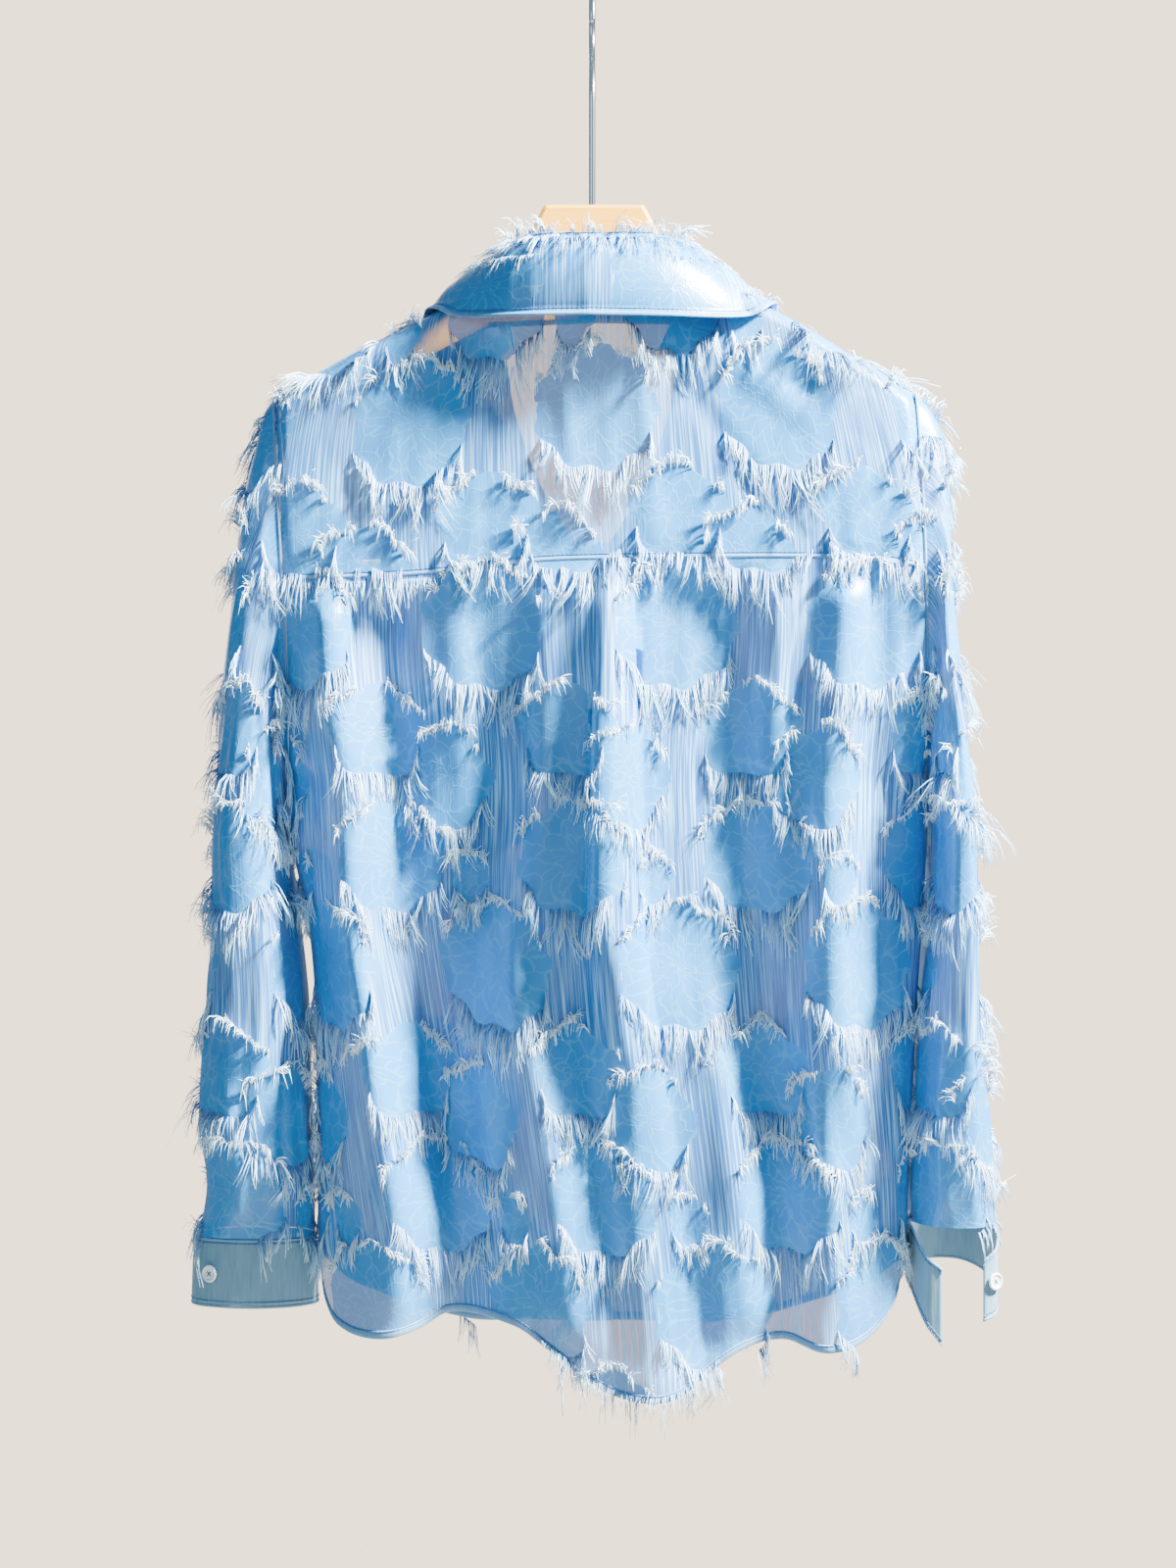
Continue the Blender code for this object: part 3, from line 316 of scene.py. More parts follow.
# %% The back, with its centre pleat
def back_across(a, z):
    """Across and pleat lift of the back at a height. The pleat takes the middle share of a."""
    lift, undercut, root = (read(PLEAT, z, column) for column in (1, 2, 3))
    middle = PLEAT_X + PLEAT_DRIFT * ease((-0.60 - z) / 0.34)
    if abs(a) <= PLEAT_SHARE:
        m = a / PLEAT_SHARE
        x = middle + root * m + undercut * math.sin(math.pi * m)
        return x, lift * (0.5 + 0.5 * math.cos(math.pi * m)), middle + root * m
    share = (abs(a) - PLEAT_SHARE) / (1 - PLEAT_SHARE)
    side = read(BODY, z, LEFT if a < 0 else RIGHT)
    base = middle + math.copysign(root, a)
    x = base + (side - base) * (1 - (1 - share) ** 1.6)
    return x, 0.0, x


def settled_height(across, line, offset, start):
    """The height at which a column of the cloth crosses a line given by its distance across."""
    z = start
    for _ in range(8):
        z = read(line, across(z)) + offset
    return z


def back_point(a, v):
    """The back panel's outer surface: a from -1 to 1 across, v from the yoke to the hem."""
    def across(z):
        return back_across(a, z)[2]

    top = settled_height(across, YOKE_SEAM, -SEAM_GAP / 2, -0.38)
    bottom = settled_height(across, BACK_HEM, 0.0, -0.88)
    z = top + (bottom - top) * v
    x, lift, flat_x = back_across(a, z)
    return Vector((x, -parted(body_depth(flat_x, z, False), z) - lift, z))


# %% The fronts, one under the other
def front_point(hand, u, v, out=0.0):
    """A front's outer surface: u from the side to the front edge, v from shoulder to hem.

    The last share of u is the width of the placket.
    """
    def across(z):
        side = read(BODY, z, LEFT if hand < 0 else RIGHT)
        edge = hand * read(FRONT_EDGE, z)
        inner = edge + hand * PLACKET_WIDTH
        if u > 1 - PLACKET_SHARE:
            return edge + (inner - edge) * (1 - u) / PLACKET_SHARE
        return side + (inner - side) * (u / (1 - PLACKET_SHARE)) ** 1.35

    shift = -SHOULDER_SEAM + ROUND * math.pi / 2 - ROUND
    top = settled_height(across, SHOULDER, shift - 2 * SEAM_GAP, -0.26)
    bottom = settled_height(across, FRONT_HEM, 0.0, -0.88)
    z = top + (bottom - top) * v
    x = across(z)
    depth = parted(body_depth(x, z, True), z) + out
    return Vector((x, depth - (under_lap(x, z) if hand < 0 else 0.0), z))


def under_lap(x, z):
    """How far the left front is set back to pass under the right one."""
    return UNDERLAP * ease(1 - abs(x) / UNDERLAP_SPREAD) * ease((-0.345 - z) / 0.03)


# %% The sleeves and the cuffs
# Sleeves: height, outer side, inner side, middle of the depth, half depth.
LEFT_SLEEVE = (
    (-0.560, -0.2520, -0.2035, 0.010, 0.056),
    (-0.610, -0.2530, -0.1965, 0.010, 0.055),
    (-0.670, -0.2550, -0.1895, 0.009, 0.051),
    (-0.747, -0.2600, -0.1865, 0.005, 0.042),
    (-0.790, -0.2540, -0.1850, 0.002, 0.034),
    (-0.823, -0.2615, -0.1840, 0.000, 0.027),
)
RIGHT_SLEEVE = (
    (-0.560, 0.2550, 0.2250, 0.014, 0.066),
    (-0.610, 0.2560, 0.2230, 0.014, 0.065),
    (-0.670, 0.2580, 0.2190, 0.013, 0.061),
    (-0.730, 0.2615, 0.2150, 0.012, 0.056),
    (-0.780, 0.2655, 0.2125, 0.012, 0.050),
    (-0.815, 0.2690, 0.2110, 0.012, 0.046),
)
# The sleeve head's outer line: height, across on the left, across on the right.
SLEEVE_HEAD = (
    (-0.2688, -0.2104, 0.2155),
    (-0.2740, -0.2150, 0.2225),
    (-0.2840, -0.2195, 0.2290),
    (-0.3040, -0.2240, 0.2345),
    (-0.3300, -0.2300, 0.2370),
    (-0.3710, -0.2365, 0.2375),
    (-0.4350, -0.2415, 0.2435),
    (-0.5000, -0.2470, 0.2490),
    (-0.5600, -0.2520, 0.2550),
)
SLEEVE_SQUARENESS = 2.3
# Sleeve folds: where round the sleeve in degrees, half width in degrees, lift.
SLEEVE_FOLDS = ((150.0, 34.0, -0.0085), (60.0, 30.0, 0.0030), (245.0, 34.0, -0.0090), (300.0, 30.0, 0.0035))
CUFF_HEIGHT = 0.045
CUFF_OVERLAP = 0.018
LEFT_CUFF = (-0.8237, -0.2625, -0.1830, 0.000, 0.0255)
LEFT_CUFF_FLARE = 0.0015
# The open cuff: share of its length, across, depth, top edge, bottom edge.
RIGHT_CUFF = (
    (0.00, 0.2290, -0.0300, -0.8420, -0.8930),
    (0.06, 0.2190, -0.0260, -0.8340, -0.8800),
    (0.16, 0.2120, -0.0080, -0.8185, -0.8620),
    (0.32, 0.2120, 0.0260, -0.8162, -0.8550),
    (0.46, 0.2270, 0.0545, -0.8157, -0.8500),
    (0.58, 0.2510, 0.0550, -0.8157, -0.8500),
    (0.72, 0.2660, 0.0290, -0.8162, -0.8540),
    (0.86, 0.2680, -0.0050, -0.8185, -0.8600),
    (0.95, 0.2650, -0.0270, -0.8290, -0.8720),
    (1.00, 0.2560, -0.0330, -0.8360, -0.8760),
)


def armhole_point(hand, turn):
    """The sleeve's top edge. turn is 0 at the shoulder, 0.25 at the back, 0.5 underneath."""
    down = 0.5 - 0.5 * math.cos(2 * math.pi * turn)
    top = read(SHOULDER, -0.2083 if hand < 0 else 0.2134) - 0.0005
    z = top + (UNDERARM - top) * down
    size = ARMHOLE_BACK if turn < 0.5 else ARMHOLE_FRONT
    gap = armhole_gap(z, hand, size)
    x = read(BODY, z, LEFT if hand < 0 else RIGHT) + hand * (WALL - 0.0006)
    return Vector((x, -gap if turn < 0.5 else gap, z))


def sleeve_ring(table, turn, z, hand):
    """A level section through the hanging sleeve."""
    outer, inner, middle, half = (read(table, z, column) for column in (1, 2, 3, 4))
    angle = 2 * math.pi * turn
    power = 2 / SLEEVE_SQUARENESS
    along = math.copysign(abs(math.cos(angle)) ** power, math.cos(angle))
    deep = math.copysign(abs(math.sin(angle)) ** power, math.sin(angle))
    lift = 0.0
    for place, wide, amount in SLEEVE_FOLDS:
        near = (math.degrees(angle) - place) / wide
        if abs(near) < 1:
            lift += amount * (0.5 + 0.5 * math.cos(math.pi * near))
    lift *= ease((-0.52 - z) / 0.06) * ease((z + 0.835) / 0.05)
    half_wide = abs(outer - inner) / 2
    x = (outer + inner) / 2 + hand * along * half_wide
    y = middle - deep * (half + lift)
    return Vector((x, y, z))


def sleeve_point(hand, turn, w):
    """The sleeve's outer surface: turn round it, w from the armhole to the cuff."""
    table = LEFT_SLEEVE if hand < 0 else RIGHT_SLEEVE
    joined = 0.36
    if w < joined:
        share = w / joined
        top = armhole_point(hand, turn)
        low = sleeve_ring(table, turn, table[0][0], hand)
        mixed = top.lerp(low, share)
        crown, foot = armhole_point(hand, 0.0), table[0]
        z = crown.z + (foot[0] - crown.z) * share
        line = read(SLEEVE_HEAD, z, 1 if hand < 0 else 2)
        swell = line - (crown.x + (foot[1] - crown.x) * share)
        return mixed + Vector((swell * (0.5 + 0.5 * math.cos(2 * math.pi * turn)), 0, 0))
    z = table[0][0] + (table[-1][0] - table[0][0]) * (w - joined) / (1 - joined)
    return sleeve_ring(table, turn, z, hand)


def left_cuff_point(t, v):
    """The buttoned cuff: t once round from under the lap to over it, v from top to bottom."""
    top, outer, inner, middle, half = LEFT_CUFF
    turn = 0.06 - t
    round_it = abs(outer - inner) / 2
    girth = math.pi * (3 * (round_it + half) - math.sqrt((3 * round_it + half) * (round_it + 3 * half)))
    lap = CUFF_OVERLAP / girth
    angle = 2 * math.pi * (turn * (1 + lap))
    rise = (WALL + LAYER_GAP) * 1.15 * ease((t - 1 + 2 * lap) / lap)
    flare = LEFT_CUFF_FLARE * v
    x = (outer + inner) / 2 - math.cos(angle) * (round_it + rise + flare)
    y = middle - math.sin(angle) * (half + rise + flare)
    return Vector((x, y, top - CUFF_HEIGHT * v))


def right_cuff_point(t, v):
    """The open cuff: t from its inner end round to its outer end, v from top to bottom."""
    x, y, top, bottom = (read(RIGHT_CUFF, t, column) for column in (1, 2, 3, 4))
    return Vector((x, y, top + (bottom - top) * v))


# %% The collar and the pocket
# Collar lines: share from the back's middle, how far out the neck seam lies, then across,
# depth and height of the fold and of the leaf's edge.
COLLAR = (
    (0.00, 0.0000, 0.0000, -0.0440, -0.1680, 0.0000, -0.0570, -0.2225),
    (0.20, 0.0300, 0.0280, -0.0395, -0.1670, 0.0410, -0.0520, -0.2225),
    (0.35, 0.0480, 0.0440, -0.0270, -0.1670, 0.0700, -0.0400, -0.2215),
    (0.45, 0.0575, 0.0505, -0.0110, -0.1675, 0.0900, -0.0260, -0.2180),
    (0.52, 0.0630, 0.0530, 0.0040, -0.1700, 0.1040, -0.0130, -0.2120),
    (0.60, 0.0670, 0.0560, 0.0190, -0.1760, 0.1090, 0.0060, -0.2130),
    (0.70, 0.0735, 0.0570, 0.0330, -0.1880, 0.1085, 0.0300, -0.2270),
    (0.85, 0.0780, 0.0550, 0.0430, -0.2070, 0.1020, 0.0390, -0.2600),
    (1.00, 0.0790, 0.0520, 0.0470, -0.2270, 0.0900, 0.0400, -0.2980),
)
NECK_SEAM, FOLD, LEAF_EDGE = 1, 2, 5
FOLD_RIGHT, LEAF_RIGHT = 0.0120, 0.0190
LEAF_CLEAR = 0.0056
STAND_END = 0.76
STAND_INSET = 0.0022
STAND_DROP = 0.0015
SEAM_INSET = 0.0035
POCKET_LEFT, POCKET_RIGHT = -0.137, -0.040
POCKET_TOP, POCKET_SIDE, POCKET_POINT = -0.461, -0.561, -0.584


def collar_line(c, line):
    """A point on the fold or the leaf's edge, c from -1 at the left end to 1 at the right."""
    x, y, z = (read(COLLAR, abs(c), line + k) for k in range(3))
    wider = FOLD_RIGHT if line == FOLD else LEAF_RIGHT
    if c > 0:
        x += wider * math.sin(math.pi * c)
    return Vector((NECK_X + math.copysign(x, c), y, z))


def collar_out(c):
    """The level direction away from the neck."""
    fold = collar_line(c, FOLD)
    edge = collar_line(c, LEAF_EDGE)
    out = Vector((edge.x - fold.x, edge.y - fold.y, 0))
    return out.normalized()


def over_body(point, clear):
    """A point moved out where it would be nearer to the shoulders than a clearance."""
    if abs(point.x - NECK_X) < 0.058:
        return point
    centre = read(SHOULDER, point.x) - ROUND
    depth = body_depth(point.x, min(point.z, centre), point.y > 0) + clear
    up = max(0.0, point.z - centre)
    inside = math.hypot(point.y / depth, up / (ROUND + clear))
    if inside >= 1 or inside < 0.05:
        return point
    return Vector((point.x, point.y / inside, centre + up / inside if up else point.z))


def leaf_point(c, v):
    """The collar leaf's outer surface, v from the fold to the edge."""
    point = collar_line(c, FOLD).lerp(collar_line(c, LEAF_EDGE), v)
    bow = 0.0065 * math.sin(math.pi * min(1.0, v * 1.1)) ** 0.8 * (1 - 0.35 * abs(c))
    point += collar_out(c) * bow + Vector((0, 0, bow * 0.55))
    return over_body(point, LEAF_CLEAR)


def stand_point(c, v):
    """The collar stand's outer surface, v from its top to the neck seam."""
    fold = collar_line(c, FOLD) - collar_out(c) * STAND_INSET - Vector((0, 0, STAND_DROP))
    out = read(COLLAR, abs(c), NECK_SEAM)
    seam = over_shoulder(NECK_X + math.copysign(out, c), read(NECK_EDGE, out))
    inward = Vector((NECK_X - seam.x, 0.005 - seam.y, 0)).normalized()
    return fold.lerp(seam + inward * SEAM_INSET, v)


def pocket_point(s, v):
    """The chest pocket on the left front."""
    x = POCKET_LEFT + (POCKET_RIGHT - POCKET_LEFT) * s
    bottom = POCKET_POINT + (POCKET_SIDE - POCKET_POINT) * abs(2 * s - 1)
    z = POCKET_TOP + (bottom - POCKET_TOP) * v
    return Vector((x, parted(body_depth(x, z, True), z) - under_lap(x, z), z))


BACKWARD, FORWARD = Vector((0, -1, 0)), Vector((0, 1, 0))

# %% [markdown]
# ## A panel of cloth
#
# A panel could be draped by simulation, but this shirt hangs in folds that are known, so its
# surface is worked out instead. A flat grid is made and each of its points is moved to its
# place on the surface. Two measures go with each point: how far across and how far down the
# flat cloth it lies. They become the UV map, in metres, so that the woven flowers keep their
# real size on every panel, and they tell a thread of the fringe where its root is.

# %% Soft creases
def crease_lift(creases, across, down):
    """How far creases lift the cloth. Each is a soft line from one flat place to another."""
    lift = np.zeros_like(across)
    for u0, v0, u1, v1, half, height in creases:
        length = math.hypot(u1 - u0, v1 - v0)
        along = ((across - u0) * (u1 - u0) + (down - v0) * (v1 - v0)) / length**2
        off = ((across - u0) * (v1 - v0) - (down - v0) * (u1 - u0)) / length
        spread = half * (0.75 + 0.5 * np.clip(along, 0, 1))
        ridge = np.clip(1 - np.abs(off / spread), 0, 1)
        ends = np.clip(1.15 - np.abs(2 * along - 1), 0, 0.4) / 0.4
        lift += height * (ridge * ridge * (3 - 2 * ridge)) * (ends * ends * (3 - 2 * ends))
    return lift


def ripples(across, down, height, seed):
    """Small upright waves, as thin cloth has between its seams."""
    rng = np.random.default_rng(seed)
    lift = np.zeros_like(across)
    for wave in (0.0085, 0.013, 0.019, 0.031):
        phase, drift, beat = rng.uniform(0, 6.28, 3)
        sway = 0.004 * np.sin(down / 0.07 + phase) + 0.0025 * np.sin(down / 0.031 + drift)
        swell = 0.55 + 0.45 * np.sin(down / 0.055 + across / 0.05 + beat)
        lift += np.sin(2 * math.pi * (across + sway) / wave + phase) * swell * (wave / 0.02) ** 0.7
    return lift * height


# %% A panel and its measures
class Panel:
    """A cloth surface: rows of points, outward directions, and flat measures across and down."""

    def __init__(self, place, across, down, outward, closed=False):
        self.closed = closed
        self.points = np.array([[place(a, b) for a in across] for b in down], dtype=float)
        self.outward = np.array(outward, dtype=float)
        self.settle()

    def settle(self):
        """Work out the outward directions again after the points have moved."""
        grid = self.points
        if self.closed:
            grid = np.concatenate((grid[:, -2:-1], grid, grid[:, 1:2]), axis=1)
        along, fall = np.gradient(grid, axis=1), np.gradient(grid, axis=0)
        if self.closed:
            along, fall = along[:, 1:-1], fall[:, 1:-1]
        normal = np.cross(along, fall)
        normal /= np.linalg.norm(normal, axis=2, keepdims=True) + 1e-12
        rows, columns = normal.shape[:2]
        if normal[rows // 2, columns // 2] @ self.outward < 0:
            normal = -normal
        self.normals = normal

    def measure_across(self, start, weight=None):
        """Flat distance across each row from a column, pleated columns counted by weight."""
        step = np.diff(self.points, axis=1)
        length = np.linalg.norm(step, axis=2)
        if weight is not None:
            length = np.where(weight[None, :], np.abs(step[:, :, 0]), length)
        run = np.concatenate((np.zeros((len(length), 1)), np.cumsum(length, axis=1)), axis=1)
        return run - run[:, start : start + 1]

    def measure_down(self, end_height):
        """Flat distance down each column, counted back from its lower end."""
        length = np.linalg.norm(np.diff(self.points, axis=0), axis=2)
        run = np.concatenate((np.zeros((1, length.shape[1])), np.cumsum(length, axis=0)), axis=0)
        return run - run[-1:] + end_height

    def measure(self, start=None, weight=None):
        """Flat measures: across from a column, or from the middle one, and down by height."""
        middle = self.points.shape[1] // 2
        self.across = self.measure_across(middle if start is None else start, weight)
        self.down = -self.points[:, :, 2]

    def lift(self, amount, hold=0.012, sides=True, straight=False):
        """Move the cloth out by an amount that fades to nothing at its seams."""
        edge = np.minimum(self.down - self.down.min(axis=0), self.down.max(axis=0) - self.down)
        if sides:
            near = np.minimum(
                self.across - self.across.min(axis=1, keepdims=True),
                self.across.max(axis=1, keepdims=True) - self.across,
            )
            edge = np.minimum(edge, near)
        fade = np.clip(edge / hold, 0, 1)
        fade = fade * fade * (3 - 2 * fade)
        way = self.outward if straight else self.normals
        self.points += way * (amount * fade)[:, :, None]
        self.settle()

    def index(self):
        """A quick search for the grid point nearest to a flat place."""
        rows, columns = self.across.shape
        self.tree = KDTree(rows * columns)
        for i, (a, d) in enumerate(zip(self.across.ravel(), self.down.ravel())):
            self.tree.insert((a, d, 0), i)
        self.tree.balance()
        flat = (self.across, self.down)
        self.slopes = [np.gradient(field, axis=axis) for field in flat for axis in (1, 0)]
        self.tangents = np.gradient(self.points, axis=1), np.gradient(self.points, axis=0)

    def at(self, a, d, reach=0.006):
        """The point and outward direction at a flat place, or nothing off the panel."""
        _, i, far = self.tree.find((a, d, 0))
        if far > reach:
            return None
        row, column = divmod(i, self.across.shape[1])
        ai, aj, di, dj = (slope[row, column] for slope in self.slopes)
        da, dd = a - self.across[row, column], d - self.down[row, column]
        det = ai * dj - aj * di
        if abs(det) < 1e-9:
            return None
        si, sj = (da * dj - aj * dd) / det, (ai * dd - da * di) / det
        if abs(si) > 1.2 or abs(sj) > 1.2:
            return None
        point = self.points[row, column]
        point = point + si * self.tangents[0][row, column] + sj * self.tangents[1][row, column]
        return point, self.normals[row, column]

    def near(self, x, z):
        """The cloth's furthest forward depth close to a place, for a layer on top of it."""
        far = np.hypot(self.points[:, :, 0] - x, self.points[:, :, 2] - z)
        return self.points[:, :, 1][far < 0.0055].max(initial=-1.0)

    def flat_area(self):
        """The cloth's area in square metres."""
        upper, lower = self.points[:-1], self.points[1:]
        a, b, c, d = upper[:, :-1], upper[:, 1:], lower[:, 1:], lower[:, :-1]
        first = np.linalg.norm(np.cross(b - a, d - a), axis=2).sum()
        second = np.linalg.norm(np.cross(b - c, d - c), axis=2).sum()
        return (first + second) / 2

    def flat_size(self):
        """How wide and how long the cut is, over its longest row and column."""
        wide = np.linalg.norm(np.diff(self.points, axis=1), axis=2).sum(axis=1).max()
        long = np.linalg.norm(np.diff(self.points, axis=0), axis=2).sum(axis=0).max()
        return wide, long


# %% From a grid of points to a sheet
def put(name, bm, finish):
    """A bmesh becomes a named piece at the origin, riding on the shirt."""
    mesh = bpy.data.meshes.new(name)
    bm.to_mesh(mesh)
    bm.free()
    mesh.materials.append(finish)
    mesh.shade_smooth()
    made = bpy.data.objects.new(name, mesh)
    bpy.context.scene.collection.objects.link(made)
    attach(made, "root")
    return made


def sheet_from(name, panel, finish, thick=0.0):
    """A sheet of cloth with its flat measures as a UV map."""
    rows, columns = panel.across.shape
    bm = bmesh.new()
    bmesh.ops.create_grid(bm, x_segments=columns - 1, y_segments=rows - 1, size=0.5)
    flat = bm.loops.layers.uv.new("cut")
    place = {}
    for vert in bm.verts:
        i = round((vert.co.x + 0.5) * (columns - 1))
        j = round((vert.co.y + 0.5) * (rows - 1))
        place[vert] = (i, j)
    for face in bm.faces:
        for loop in face.loops:
            i, j = place[loop.vert]
            loop[flat].uv = (panel.across[j, i], panel.down[j, i])
    for vert, (i, j) in place.items():
        vert.co = panel.points[j, i]
    if panel.closed:
        bmesh.ops.remove_doubles(bm, verts=bm.verts, dist=0.00001)
    middle = panel.points[rows // 2, columns // 2]
    nearest = min(bm.faces, key=lambda face: (face.calc_center_median() - Vector(middle)).length)
    nearest.normal_update()
    if np.array(nearest.normal) @ panel.normals[rows // 2, columns // 2] < 0:
        bmesh.ops.reverse_faces(bm, faces=bm.faces)
    made = put(name, bm, finish)
    if thick:
        wall = made.modifiers.new("layers", "SOLIDIFY")
        wall.thickness = thick
        wall.offset = -1
        wall.use_even_offset = False
    return made


# %% [markdown]
# ## Colours and nodes
#
# Colours are written as they look on a screen, so they are turned to linear light once, in one
# place. One small function adds a shader node with its settings and its inputs.

# %% Helpers for the finishes
def colour(hex_code):
    """A screen colour such as 8FB8DC as linear light."""
    parts = [int(hex_code[i : i + 2], 16) / 255 for i in (0, 2, 4)]
    linear = [c / 12.92 if c <= 0.04045 else ((c + 0.055) / 1.055) ** 2.4 for c in parts]
    return (*linear, 1.0)


MATH, VECTOR_MATH, MIX = "ShaderNodeMath", "ShaderNodeVectorMath", "ShaderNodeMix"
NOISE, MAP_RANGE = "ShaderNodeTexNoise", "ShaderNodeMapRange"


def add(tree, kind, inputs=(), **settings):
    """Add a node, set its options, and link or set its inputs."""
    node = tree.nodes.new(kind)
    for name, value in settings.items():
        setattr(node, name, value)
    pairs = inputs.items() if isinstance(inputs, dict) else enumerate(inputs)
    for place, value in pairs:
        if isinstance(value, bpy.types.NodeSocket):
            tree.links.new(value, node.inputs[place])
        elif value is not None:
            node.inputs[place].default_value = value
    return node


def finish_named(name, base, roughness, **more):
    """A plain finish, with its base colour, roughness and any other shader values."""
    made = bpy.data.materials.new(name)
    made.use_nodes = True
    shader = made.node_tree.nodes["Principled BSDF"]
    shader.inputs["Base Color"].default_value = colour(base)
    shader.inputs["Roughness"].default_value = roughness
    for key, value in more.items():
        shader.inputs[key.replace("_", " ")].default_value = value
    return made, made.node_tree, shader


# %% [markdown]
# ## The woven flowers
#
# The pattern repeats every 126 mm across and 222 mm down. One repeat holds five motifs: a
# chrysanthemum, three roses of different sizes and a small ring. Each outline is a circle whose
# radius swells once for each petal, which gives scalloped petals at no cost, and the same few
# numbers also tell where the cut threads of the fringe are rooted.

# %% One repeat of the pattern
REPEAT = (0.126, 0.222)
# Middle across, middle down, half width, half height, petals, depth of the scallops, turn.
MOTIFS = (
    (0.055, 0.200, 0.0400, 0.0410, 9, 0.060, 0.3),
    (0.106, 0.047, 0.0320, 0.0300, 5, 0.090, 1.2),
    (0.025, 0.077, 0.0290, 0.0330, 5, 0.080, 0.0),
    (0.112, 0.129, 0.0370, 0.0360, 8, 0.060, 2.0),
    (0.041, 0.143, 0.0125, 0.0165, 3, 0.080, 0.8),
)


def outline(motif, angle):
    """A motif's edge in a direction, as steps across and down from its middle."""
    wide, high, petals, swell, turn = motif[2:]
    edge = 1 + swell * math.cos(petals * angle + turn)
    return wide * edge * math.cos(angle), high * edge * math.sin(angle)


# %% [markdown]
# ## Clipped jacquard (fil coupe)
#
# A polyester organza ground with satin floats. The ground is plain woven from fine bright yarn.
# About an eighth of the light passes straight through it, so the wood and the front of the
# shirt show faintly. The satin flowers are denser, so they hide what is behind them, with a
# blue sheen and pale petal lines. Yarns stand 0.1 mm apart, too fine to show, so the upright
# streaks are drawn about ten times as coarse as the yarn.

# %% The cloth's finish
# How many layers of petals a flower has, how far they turn and how strong their lines are.
PETAL_LAYERS, PETAL_TURN, PETAL_LINE = 2.6, 1.6, 0.55
# How closely the petals of a layer follow each other round a flower.
PETAL_PITCH = 0.32
# Metres by which the flowers' edges wander, and how many times a metre they do.
EDGE_WANDER, EDGE_WAVES = 0.010, 95.0
# Streaks to a metre, across and down.
STREAKS = (850, 14, 0)
# How much light a flower stops, and how much more or less a streak stops.
FLOWER_STOPS, STREAK_STOPS = 0.96, 0.12


